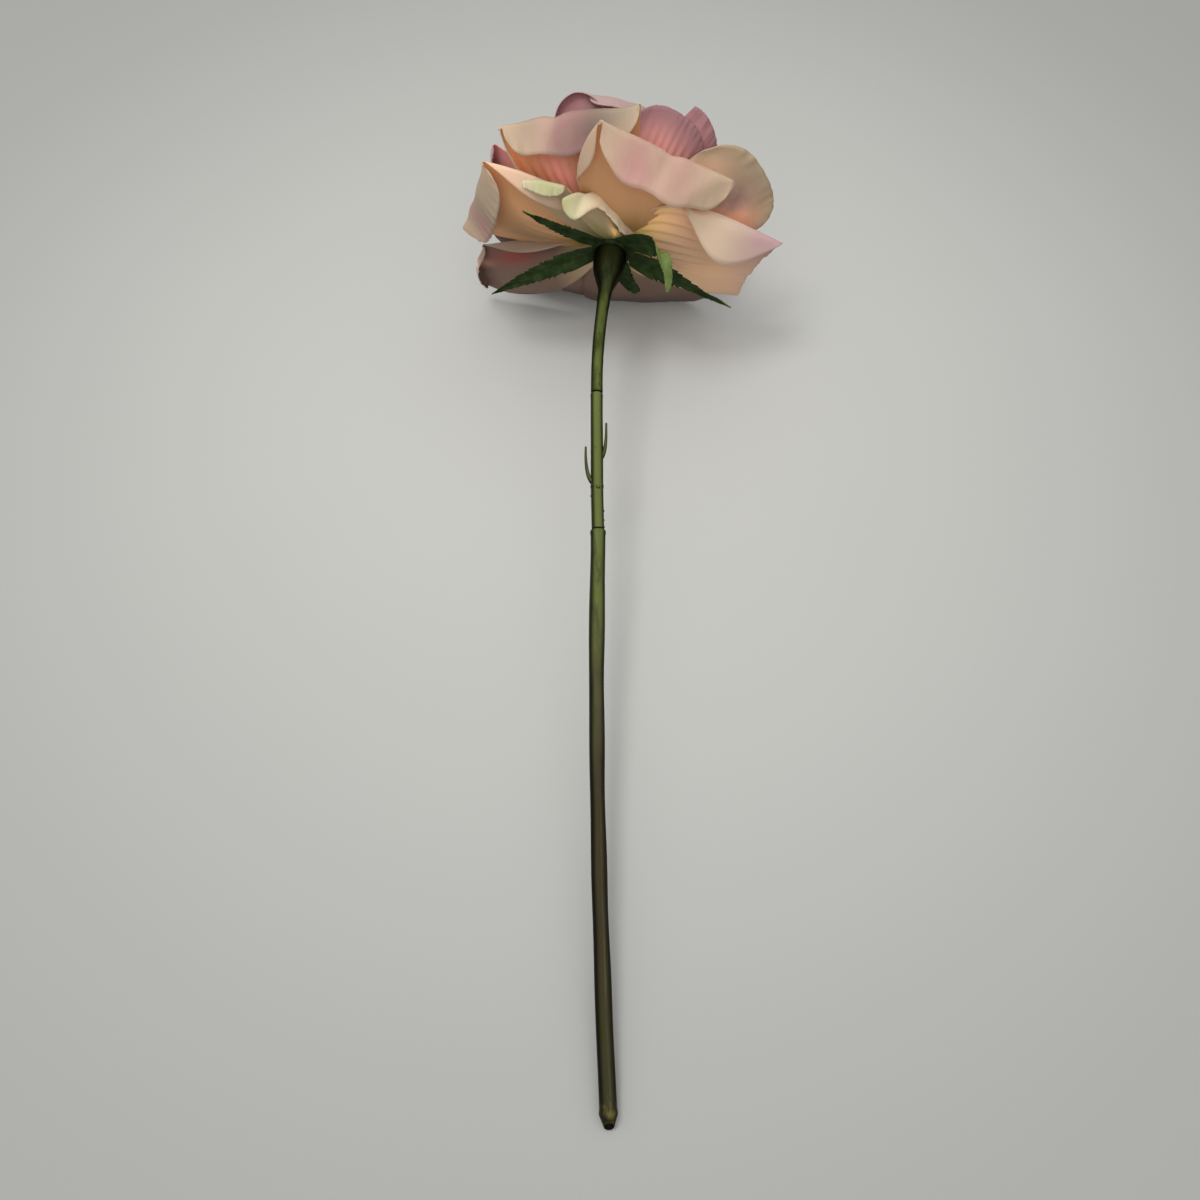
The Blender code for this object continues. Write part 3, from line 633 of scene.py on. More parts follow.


# Painted light and shade: the spots that make a petal's dye lighter or darker stand for light and shade that
# fall on it.
TOUCHES = {
    "over_calyx": Touch(
        ripple=0.4, rim=0.6, dents=((0.4, 0.8, 70, 0.3, 0.06, 0.8), (-0.5, 0.8, 60, 0.3, 0.05, -0.8)),
        blushes_and_shades=((0.9, 0.9, 0.4, 1),), lights_and_shades=((-0.38, 0.2, 0.2, 1.6), (0.1, 0.95, 0.2, 0.3))),
    "beside_calyx": Touch(ripple=0.3, rim=0.5, blushes_and_shades=((-0.5, 0.9, 0.5, 0.9),)),
    "left": Touch(
        pleats=(10, 0.3, 0.2), dents=((0.3, 0.85, 20, 0.3, 0.06, 0.6), (-0.4, 0.55, -30, 0.5, 0.1, 0.6)),
        blushes_and_shades=((0.2, 0.92, 0.2, 0.9),),
        lights_and_shades=((0, 1, 0.35, -0.35), (-1.3, 0.7, 0.3, 0.3), (-0.62, 0.95, 0.2, -0.2),
               (0.35, 0.42, 0.3, -0.45))),
    "low_left": Touch(
        blushes_and_shades=((-0.6, 0.66, 0.25, 1),), lights_and_shades=((0, 1, 0.3, -0.15), (-0.26, 0.93, 0.13, 1.5))),
    "right": Touch(
        pleats=(13, 0.6, 0.35), dents=((0.5, 0.85, 60, 0.4, 0.06, 0.5),), blushes_and_shades=((0.9, 1, 0.4, 1.3),),
        lights_and_shades=((-0.6, 0.8, 0.6, 0.15), (0.74, 0.19, 0.22, 0.5), (1.2, 0.5, 0.25, 0.1))),
    "top_left": Touch(
        pleats=(13, 0.4, 0.4), dents=((0.25, 0.86, 70, 0.2, 0.05, 0.9), (-0.15, 0.85, -40, 0.2, 0.07, -0.8),
                                      (-0.5, 0.9, 30, 0.25, 0.05, 0.6)),
        blushes_and_shades=((0, 0.95, 0.3, 1.2), (0.42, 0.48, 0.25, 1.2)),
        lights_and_shades=((0, 1, 0.3, -0.25), (0.42, 0.48, 0.2, 0.4), (1.02, 0.56, 0.2, 0.25),
               (-0.36, 0.9, 0.2, -0.45), (0.62, 0.85, 0.14, -0.15), (0.1, 0.95, 0.15, -0.15),
               (-0.74, 0.86, 0.2, -0.25))),
    "top_right": Touch(
        dents=((0, 0.84, 65, 0.25, 0.05, 0.9), (-0.55, 0.9, 30, 0.2, 0.05, -0.8),
               (0.5, 0.9, -20, 0.2, 0.06, 0.7)),
        blushes_and_shades=((0.4, 0.92, 0.22, 0.9), (-0.2, 0.86, 0.22, 0.6)), lights_and_shades=((0, 0.2, 0.4, -0.1),)),
    "far_right": Touch(
        rim=0.5, dents=((-0.3, 0.9, 40, 0.3, 0.07, 0.9), (0.4, 0.85, 10, 0.3, 0.08, -0.8)),
        blushes_and_shades=((-0.1, 0.75, 0.25, 1.2),), lights_and_shades=((0, 0.95, 0.4, -0.2), (-0.5, 0.7, 0.3, 0.6))),
    "crown_left": Touch(ripple=0.15, rim=0.05),
    "crown_right": Touch(pleats=(9, 0.3, 0.6), lights_and_shades=((0.2, 0.65, 0.4, 0.2),)),
    "third_left": Touch(lights_and_shades=((-0.91, 0.86, 0.25, 0.45),)),
    "back_crown_right": Touch(lights_and_shades=((0.3, 0.75, 0.6, 0.25),)),
    "back_crown_left": Touch(ripple=0.2, rim=0.1),
    "under": Touch(lights_and_shades=((0, 0.9, 0.6, -0.2),)),
}
# Columns and rows of a plain petal, a pleated one and one of a ring.
FINE_CELLS = (34, 32)
PLEATED_CELLS = (96, 32)
RING_CELLS = (20, 20)
# Slow noise: how many waves, how close they are, and how much they count.
NOISE_WAVES = 7
NOISE_PACE = (1.5, 5)
NOISE_GAIN = 1.6
FULL_TURN = 6.28
# How far u runs on over a side flap, how far pleats run, how far the free edge frays, where its ripples
# start, and how near points of a sheet are one.
SIDE_SHARE = 0.35
PLEAT_REACH = 0.22
FRAY = 0.12
RIM_START = 0.9
SAME_PLACE = 0.02


def smooth_noise(draw, x, y):
    """A sum of slow waves over x and y, between about -1 and 1."""
    total = 0
    for _ in range(NOISE_WAVES):
        phase = draw.uniform(*NOISE_PACE) * x + draw.uniform(*NOISE_PACE) * y * draw.choice((-1, 1))
        total = total + np.sin(phase + draw.uniform(0, FULL_TURN))
    return total / NOISE_WAVES * NOISE_GAIN


def add_sheet(shape, spots, u, w, blush_and_shade, light_and_shade, facing, length):
    """Adds a grid of places to a bmesh as a sheet with its maps and paint: a blush and painted light and
    shade. Its middle faces a given way.
    """
    rows, cols = u.shape
    sheet = bmesh.new()
    bmesh.ops.create_grid(sheet, x_segments=cols - 1, y_segments=rows - 1, size=1.0)
    at = np.array([vert.co[:2] for vert in sheet.verts])
    col = np.rint((at[:, 0] + 1) / 2 * (cols - 1)).astype(int)
    row = np.rint((at[:, 1] + 1) / 2 * (rows - 1)).astype(int)
    place(sheet, spots[row, col])
    width = np.linalg.norm(np.diff(spots, axis=1), axis=-1).sum(1).max()
    thread_map = sheet.loops.layers.uv.new("thread")
    dye_map = sheet.loops.layers.uv.new("dye")
    # The sheet's paint: its blush, which is painted shade on some petals, and its painted light and shade.
    blush_and_shade_layer = sheet.verts.layers.float.new("blush_and_shade")
    light_and_shade_layer = sheet.verts.layers.float.new("light_and_shade")
    for number, vert in enumerate(sheet.verts):
        r, c = row[number], col[number]
        vert[blush_and_shade_layer] = float(blush_and_shade[r, c])
        vert[light_and_shade_layer] = float(light_and_shade[r, c])
        for loop in vert.link_loops:
            loop[thread_map].uv = (c / (cols - 1) * width / CLOTH_UNIT, w[r, c] * length / CLOTH_UNIT)
            loop[dye_map].uv = ((u[r, c] + 1 + SIDE_SHARE) / (2 + 2 * SIDE_SHARE), w[r, c])
    sheet.normal_update()
    centre = Vector((spots[rows // 3, cols // 2] - MIDDLE) * MM)
    middle = min(sheet.faces, key=lambda face: (face.calc_center_median() - centre).length)
    if middle.normal.dot(Vector(facing)) < 0:
        bmesh.ops.reverse_faces(sheet, faces=sheet.faces)
    bmesh.ops.remove_doubles(sheet, verts=sheet.verts, dist=SAME_PLACE * MM)
    loose = bpy.data.meshes.new("sheet")
    sheet.to_mesh(loose)
    sheet.free()
    shape.from_mesh(loose)
    bpy.data.meshes.remove(loose)


def spray(spots, u, w):
    """The amount of dye, or of painted light and shade, from soft round spots, each (u, w, size, amount)."""
    amount_at = np.zeros_like(u)
    for at_u, at_w, size, amount in spots:
        far = ((u - at_u) / (2 * size)) ** 2 + ((w - at_w) / size) ** 2
        amount_at = amount_at + amount * np.exp(-far * 2)
    return amount_at


def add_petal(shape, petal, touch, draw, cells):
    """Adds a petal's sheet to a bmesh, with its maps, its painted blush and its painted light and shade,
    facing outwards.
    """
    u, v, past_crest, past_side = petal_grid(petal, cells)
    flat = petal_points(petal, u, v, past_crest, past_side)
    du = np.gradient(flat, axis=1)
    dv = np.gradient(flat, axis=0)
    normal = unit(np.cross(du, dv))
    out = body(petal, np.zeros(1), np.full(1, 0.5))[1]
    if (normal[len(normal) // 3, normal.shape[1] // 2] * out).sum() < 0:
        normal = -normal
    thread_v = np.concatenate([[0], np.cumsum(np.linalg.norm(np.diff(flat, axis=0), axis=-1).mean(1))])
    w = thread_v[:, None] / thread_v[-1] + 0 * u
    spread = u + SIDE_SHARE * past_side
    number, height, centre = touch.pleats
    lift = touch.ripple * smooth_noise(draw, 2.2 * u, 3 * w) * np.clip(v * 6, 0, 1)
    pleats = np.sin(number * np.pi * spread + 2 * w) * np.exp(-((w - centre) / PLEAT_REACH) ** 2)
    lift = lift + height * pleats * (1 - np.abs(past_side))
    rim = np.clip((w - RIM_START) / (1 - RIM_START), 0, 1)
    lift = lift + touch.rim * smooth_noise(draw, 9 * u, 2 * w) * rim
    for at_u, at_w, turn, length, width, depth in touch.dents:
        turn = math.radians(turn)
        du_at, dw_at = (spread - at_u) * 0.5, w - at_w
        ahead = du_at * math.cos(turn) + dw_at * math.sin(turn)
        aside = dw_at * math.cos(turn) - du_at * math.sin(turn)
        lift = lift + depth * np.exp(-(ahead / length) ** 2 - (aside / width) ** 2)
    bent = flat + normal * lift[..., None]
    fray = np.array([draw.uniform(-FRAY, FRAY) for _ in range(u.shape[1])])
    bent[-1] = bent[-1] + unit(dv[-1]) * fray[:, None]
    spots = from_bloom(bent)
    spots[..., 2] = np.maximum(spots[..., 2], petal.lowest)
    blush_and_shade = spray(touch.blushes_and_shades, spread, w)
    # Painted light and shade, as a factor on the dye.
    light_and_shade = 1 + spray(touch.lights_and_shades, spread, w)
    facing = np.ravel(from_bloom(out) - BASE)
    add_sheet(shape, spots, spread, w, blush_and_shade, light_and_shade, facing, thread_v[-1])


def thin(made, rim_offset=1):
    """Gives a sheet its thickness, with the second material on its inner side and its rim."""
    wall = made.modifiers.new("thickness", "SOLIDIFY")
    wall.thickness = CLOTH_THICK * MM
    wall.offset = 0
    wall.material_offset = 1
    wall.material_offset_rim = rim_offset


# The dye of each cloth piece, with painted light and shade in the low and far ones: root, middle, edge and
# blush colours, outside and then inside.
DYES = {
    "calyx_side": (((0.52, 0.48, 0.18), (0.7, 0.56, 0.34), (0.7, 0.58, 0.4), (0.62, 0.5, 0.36)),
                   ((0.92, 0.8, 0.58), (0.94, 0.86, 0.64), (0.92, 0.84, 0.62), (0.7, 0.72, 0.36))),
    "outer": (((0.55, 0.34, 0.06), (0.9, 0.53, 0.26), (0.92, 0.66, 0.44), (0.9, 0.48, 0.38)),
              ((0.74, 0.56, 0.34), (0.76, 0.61, 0.44), (0.76, 0.62, 0.44), (0.72, 0.4, 0.38))),
    "right": (((0.84, 0.68, 0.22), (0.94, 0.68, 0.44), (0.74, 0.54, 0.4), (0.6, 0.4, 0.36)),
              ((0.82, 0.7, 0.5), (0.84, 0.74, 0.55), (0.84, 0.74, 0.57), (0.8, 0.5, 0.55))),
    # Painted shade: the far piece's dark mauve blush.
    "far": (((0.92, 0.5, 0.3), (0.9, 0.58, 0.38), (0.62, 0.5, 0.33), (0.36, 0.23, 0.2)),
            ((0.78, 0.56, 0.4), (0.72, 0.56, 0.42), (0.7, 0.56, 0.42), (0.66, 0.42, 0.43))),
    # Painted light and shade: the low pieces get a cream root where they are lit, dark mauve beyond it where
    # they lie in shade, and a red blush for light through the cloth in a shaded hollow.
    "low": (((0.84, 0.64, 0.38), (0.32, 0.2, 0.15), (0.21, 0.13, 0.105), (0.42, 0.1, 0.09)),
            ((0.74, 0.54, 0.4), (0.56, 0.42, 0.31), (0.56, 0.43, 0.33), (0.74, 0.44, 0.44))),
    "crown": (((0.95, 0.46, 0.34), (0.84, 0.4, 0.36), (0.42, 0.21, 0.23), (0.46, 0.24, 0.28)),
              ((0.74, 0.48, 0.4), (0.74, 0.47, 0.44), (0.64, 0.45, 0.43), (0.56, 0.32, 0.34))),
}
SILKS = {name: (silk(f"silk_{name}_back", *back), silk(f"silk_{name}_face", *face))
         for name, (back, face) in DYES.items()}


def make_petals():
    for number, dye in enumerate(DYES):
        shape = bmesh.new()
        for order, petal in enumerate(petal for petal in SHOWN_PETALS if petal.dye == dye):
            draw = random.Random(100 * number + order)
            touch = TOUCHES.get(petal.name, Touch())
            add_petal(shape, petal, touch, draw, PLEATED_CELLS if touch.pleats[0] else FINE_CELLS)
        thin(piece(f"petals_{dye}", shape, SILKS[dye], "bloom"))
    shape = bmesh.new()
    for number, petal in enumerate(ring_petals()):
        add_petal(shape, petal, Touch(ripple=0.3), random.Random(1000 + number), RING_CELLS)
    thin(piece("petals_heart", shape, SILKS["crown"], "bloom"))
    disc_piece("petal_boss", (CORE_FOOT_R, CORE_TOP_R), CORE_LENGTH, CORE_FOOT + CORE_LENGTH / 2, 40,
               SILKS["calyx_side"][0], "bloom")


# Sepals.


@dataclass
class Sepal:
    """A serrated sepal: its root's azimuth, then its middle and its tip, each (azimuth, radius, height).

    It rolls soon after its root and may twist further on. A blunt one keeps that share of its width.
    """
    root: float
    middle: tuple
    tip: tuple
    roll: float = 0.0
    twist: float = 0.0
    blunt: float = 0.05
    width: float = 1.0


# Upper left, lower left, upper right, lower right and under.
SEPALS = (
    Sepal(130, (131, 26, -8), (132, 42, -12), width=0.65, roll=10),
    Sepal(188, (192, 25, -8), (204, 48, -9), roll=20),
    Sepal(54, (37, 23, -10), (-3, 22, -15), blunt=0.5, roll=-32, twist=172),
    Sepal(-14, (-9, 25, -7), (-22, 49, -6), roll=-25, twist=35),
    Sepal(-66, (-63, 13, -3), (-58, 20, -4), blunt=0.7),
)
SEPAL_ROOT_R = 6.5
SEPAL_LENGTH = 45.0
SEPAL_ROWS = 150
SEPAL_COLS = 12
# Shares of a sepal's length: where its roll ends, its taper, teeth and twist start, and the twist's length.
ROLL_END = 0.3
TAPER_START = 0.25
TEETH_START = 0.3
TWIST_START = 0.3
TWIST_LENGTH = 0.4
# Teeth on each side, how uneven their pace is, and their depth and set-back.
TEETH = 14
TEETH_DRIFT = 0.25
TOOTH_DEPTH = 0.26
TOOTH_SET_BACK = 0.08
# The fold across a sepal, its midrib and its ripples.
FOLD = 0.12
MIDRIB_DEPTH = 0.35
MIDRIB_WIDTH = 0.12
SEPAL_RIPPLE = 0.3


def sepal_points(sepal, across, along, draw):
    """Bloom-frame places of a sepal, with across from -1 to 1 and along from root to tip.

    Its teeth point to the tip.
    """
    root = polar(sepal.root, SEPAL_ROOT_R, SEPAL_HEIGHT)
    middle, tip = polar(*sepal.middle), polar(*sepal.tip)
    pull = 2 * middle - (root + tip) / 2
    t = along[..., None]
    centre, ahead = curve(root, pull, tip, t)
    side = unit(np.cross(ahead, -UPWARDS))
    lift = np.cross(side, ahead)
    ease = np.clip((t - TWIST_START) / TWIST_LENGTH, 0, 1)
    rolling = np.clip(t / ROLL_END, 0, 1)
    angle = np.radians(sepal.roll * rolling + sepal.twist * ease ** 2 * (3 - 2 * ease))
    across_way = side * np.cos(angle) + lift * np.sin(angle)
    up_way = lift * np.cos(angle) - side * np.sin(angle)
    taper = np.clip((along - TAPER_START) / (1 - TAPER_START), 0, 1)
    outline = np.maximum(1 - taper ** 1.6, sepal.blunt * np.sqrt(1.05 - along ** 8))
    pace = along * TEETH + TEETH_DRIFT * np.sin(along * 37 + draw.uniform(0, 6))
    pace = pace + draw.uniform(0, 1) * (across > 0)
    biting = np.clip((along - TEETH_START + 0.05) / 0.1, 0, 1) * np.clip((0.98 - along) / 0.05, 0, 1)
    tooth = 1 - biting * (TOOTH_SET_BACK - TOOTH_DEPTH * (np.mod(pace, 1.0) - 0.5)) * np.abs(across) ** 6
    half = SEPAL_HALF_WIDTH * sepal.width * outline * tooth
    midrib = MIDRIB_DEPTH * np.exp(-(across / MIDRIB_WIDTH) ** 2) * outline
    fold = FOLD * SEPAL_HALF_WIDTH * across ** 2 - midrib
    ripple = SEPAL_RIPPLE * smooth_noise(draw, 1.3 * across, 7 * along) * np.clip(along * 5, 0, 1)
    place = centre + across_way * (half * across)[..., None]
    return place + up_way * (fold + ripple)[..., None]


def leaf_cloth(name, colour, pale):
    """Stiff dyed cloth with stamped veins and a dull sheen, paler in clouds."""
    surface, tree, shader, _ = new_material(name)
    spot = object_spot(tree)
    relief = placed(tree, WEAVE, Thread=cloth_map(tree, "thread"), Spot=spot, Veins=0.000096,
                    Creases=0.0003, Weave=0.00004)
    cloud = span(tree, noise(tree, spot, 260.0, 3.0, 0.6), 0.35, 0.7)
    feed_all(tree, shader, Base_Color=blend(tree, cloud, colour, pale), Roughness=0.65,
             Specular_IOR_Level=0.12, Normal=bumped(tree, relief["Height"], CLOTH_BUMP))
    return surface


def make_sepals():
    face = leaf_cloth("sepal_outer", (0.012, 0.026, 0.005), (0.03, 0.052, 0.012))
    back = leaf_cloth("sepal_inner", (0.16, 0.23, 0.06), (0.24, 0.32, 0.1))
    shape = bmesh.new()
    across, along = np.meshgrid(np.linspace(-1, 1, SEPAL_COLS + 1), np.linspace(0, 1, SEPAL_ROWS + 1))
    for number, sepal in enumerate(SEPALS):
        spots = from_bloom(sepal_points(sepal, across, along, random.Random(40 + number)))
        add_sheet(shape, spots, across, along, 0 * along, 1 + 0 * along, -FORWARD, SEPAL_LENGTH)
    thin(piece("sepal_arms", shape, (face, back), "sepals"), rim_offset=0)
    disc_piece("sepal_hub", (SEPAL_HUB_R, SEPAL_HUB_R), CLOTH_THICK, SEPAL_HEIGHT, 48, face,
               "sepals")


# Moulded plastic: the scales of its pits, ridges and grime.
PIT_SCALE = 1400.0
RIDGE_SCALE = (420.0, 30.0, 420.0)
GRIME_SCALE = (420.0, 90.0, 420.0)
# How far the stem's colours drift along it, and the way that its painted light comes from; away from it the
# stem is darker, as painted shade.
COLOUR_DRIFT = 0.03
PAINTED_LIGHT_SIDE = (0.1, -0.1, 0.97)


def plastic_group():
    """Relief of moulded plastic, in metres: fine pits and long faint ridges."""
    tree, given, out = new_group("moulded_relief", {"Vector": ("Spot",), "Float": ("Pits", "Ridges")},
                                 {"Float": ("Height", "Grime"), "Vector": ("Facing",)})
    pits = noise(tree, given["Spot"], PIT_SCALE, 2.0, 0.6)
    ridges = noise(tree, scaled(tree, given["Spot"], RIDGE_SCALE), 1.0, 3.0, 0.5)
    grime = noise(tree, scaled(tree, given["Spot"], GRIME_SCALE), 1.0, 4.0, 0.65)
    tree.links.new(total_height(tree, (pits, given["Pits"]), (ridges, given["Ridges"])), out["Height"])
    tree.links.new(grime, out["Grime"])
    tree.links.new(add(tree, "ShaderNodeNewGeometry").outputs["Normal"], out["Facing"])
    return tree


PLASTIC = plastic_group()


def stem_plastic(name, stations, dark, roughness=(0.34, 0.5), shine=0.07):
    """Satin plastic coloured by station along the stem, with painted shade at its sides and darker in faint
    patches.
    """
    surface, tree, shader, _ = new_material(name)
    spot = object_spot(tree)
    relief = placed(tree, PLASTIC, Spot=spot, Pits=0.000036, Ridges=0.00025)
    drift = calc(tree, "MULTIPLY_ADD", relief["Grime"], COLOUR_DRIFT, -COLOUR_DRIFT / 2)
    along = calc(tree, "ADD", add(tree, "ShaderNodeSeparateXYZ", Vector=spot).outputs["Y"], drift)
    colour = stations[0][1]
    for (start, _), (end, tint) in zip(stations, stations[1:]):
        low, high = ((at - MIDDLE[1]) * MM for at in (start, end))
        colour = blend(tree, span(tree, along, low, high), colour, tint)
    colour = blend(tree, span(tree, relief["Grime"], 0.42, 0.68, 0.0, 0.6), colour, dark)
    # Painted light and shade: lighter on the side that faces the given way, darker towards the tube's flanks.
    painted_light_facing = add(tree, "ShaderNodeVectorMath", {"operation": "DOT_PRODUCT"}, Vector=relief["Facing"])
    painted_light_facing.inputs[1].default_value = PAINTED_LIGHT_SIDE
    colour = shaded(tree, colour, span(tree, painted_light_facing.outputs["Value"], 0.58, 0.98, 0.15, 1.05))
    feed_all(tree, shader, Base_Color=colour, Roughness=span(tree, relief["Grime"], 0.3, 0.7, *roughness),
             Specular_IOR_Level=shine, Normal=bumped(tree, relief["Height"], 0.5))
    return surface


# The waver of the stem's radius: its height, its pace along and round the stem, and where it grows.
WAVER = 0.12
WAVER_PACE = (0.05, 0.22)
WAVER_ROUNDS = (0, 1, 2, 1, 0, 2)
WAVER_FROM_R = 1.9
WAVER_EASE = 0.3
# A slight bend at the sleeve.
SWAY = 0.45
SWAY_Y = 4.0
SWAY_LENGTH = 18.0
# The slanted cut at the nipple, and the radius of the bore's mouth.
SLANT_START = -165.5
CUT_SLANT = 0.7
CUT_R = 1.6
MOUTH_R = 1.3


def turned(name, profile, materials, node, waver=WAVER, seed=1):
    """A solid of revolution bent along the stem. Profile points are (radius, station along Y).

    With two materials the second is on the bore.
    """
    shape = bmesh.new()
    verts = [shape.verts.new((radius, 0.0, at)) for radius, at in rounded(profile)]
    if profile[-1][0] > 0:
        verts.append(verts[0])
    edges = [shape.edges.new(pair) for pair in zip(verts, verts[1:])]
    bmesh.ops.spin(shape, geom=list(set(verts)) + edges, cent=(0, 0, 0), axis=(0, 0, 1), angle=2 * math.pi,
                   steps=STEM_SIDES, use_merge=True, use_duplicate=False)
    bmesh.ops.remove_doubles(shape, verts=shape.verts, dist=1e-4)
    if len(materials) > 1:
        for face in shape.faces:
            radius = max(math.hypot(vert.co.x, vert.co.y) for vert in face.verts)
            face.material_index = int(radius < MOUTH_R + 0.01)
    along_stem(shape, waver, seed)
    bmesh.ops.recalc_face_normals(shape, faces=shape.faces)
    return piece(name, shape, materials, node)


def swayed_centre(along):
    """The stem's centre line with its slight bend at the sleeve."""
    centre = stem_centre(along)
    centre[:, 0] += SWAY * np.exp(-((along - SWAY_Y) / SWAY_LENGTH) ** 2)
    return centre


def along_stem(shape, waver, seed):
    """Puts a shape built round +Z, with stations as heights, round the stem's centre line."""
    draw = random.Random(seed)
    at = np.array([vert.co for vert in shape.verts])
    turn = np.arctan2(at[:, 1], at[:, 0])
    slow = sum(np.sin(draw.uniform(*WAVER_PACE) * at[:, 2] + rounds * turn + draw.uniform(0, FULL_TURN))
               for rounds in WAVER_ROUNDS)
    radius = np.hypot(at[:, 0], at[:, 1])
    outer = np.clip((radius - WAVER_FROM_R) / WAVER_EASE, 0, 1)
    grow = 1 + waver * 2 * slow / len(WAVER_ROUNDS) * outer / np.maximum(radius, 0.1)
    centre = swayed_centre(at[:, 2])
    ahead = unit(stem_centre(at[:, 2] + 0.5) - stem_centre(at[:, 2] - 0.5))
    side = unit(np.cross(ahead, UPWARDS))
    reach = at[:, :2] * grow[:, None]
    places = centre + side * reach[:, :1] + np.cross(ahead, side) * reach[:, 1:]
    past = np.clip((SLANT_START - at[:, 2]) / (SLANT_START - NIPPLE_END_Y), 0, 1)
    places[:, 1] += CUT_SLANT * past * (places[:, 2] - centre[:, 2] + CUT_R)
    places[:, 2] = np.maximum(places[:, 2], 0.0)
    place(shape, places)


def rounded(profile, step=4.0):
    """Adds stations between far-apart points of a profile."""
    found = [profile[0]]
    for (r0, y0), (r1, y1) in zip(profile, profile[1:]):
        cuts = max(int(abs(y1 - y0) / step), 1)
        found += [(r0 + (r1 - r0) * k / cuts, y0 + (y1 - y0) * k / cuts) for k in range(1, cuts + 1)]
    return found


# Two hooks, each with its root, the place that it curves towards and its tip, and their end radii.
HOOKS = (
    ((-8.0, 35.4, 32.6), (-6.0, 37.2, 32.9), (-6.2, 48.2, 34.5)),
    ((-10.9, 26.4, 31.4), (-13.3, 29.0, 31.7), (-13.1, 39.4, 33.2)),
)
HOOK_RADII = (0.85, 0.35)
HOOK_CUTS = 16
# Small nubs on the upper stem: the station, the angle round the tube and the radius of each.
NUBS = ((23.6, 80, 0.7), (21.6, 185, 0.4), (16.3, -5, 0.4), (12.8, 5, 0.35), (10.6, -8, 0.4),
        (38, 100, 0.4), (52, 60, 0.35))
NUB_SINK = 0.15


def add_hook(shape, bend):
    """Adds a tapered peg that curves from its root to its tip."""
    bmesh.ops.create_cone(shape, cap_ends=True, segments=16, radius1=HOOK_RADII[0], radius2=HOOK_RADII[1],
                          depth=1.0, matrix=Matrix.Translation((0, 0, 0.5)))
    upright = [edge for edge in shape.edges if abs(edge.verts[0].co.z - edge.verts[1].co.z) > 0.5]
    bmesh.ops.subdivide_edges(shape, edges=upright, cuts=HOOK_CUTS)
    root, pull, tip = (np.array(end) for end in bend)
    for vert in shape.verts:
        centre, ahead = curve(root, pull, tip, vert.co.z)
        side = unit(np.cross(ahead, UPWARDS))
        spot = centre + side * vert.co.x + np.cross(ahead, side) * vert.co.y
        vert.co = Vector((spot - MIDDLE) * MM)


# The stem's colours, from its top to its paler lip, and the painted shade in its bore.
GREEN = (0.108, 0.131, 0.033)
DEEP_GREEN = (0.1, 0.128, 0.034)
BROWN = (0.034, 0.026, 0.009)
OLIVE = (0.033, 0.03, 0.008)
LIP = (0.11, 0.09, 0.022)
BORE_SHADE = (0.004, 0.003, 0.002)


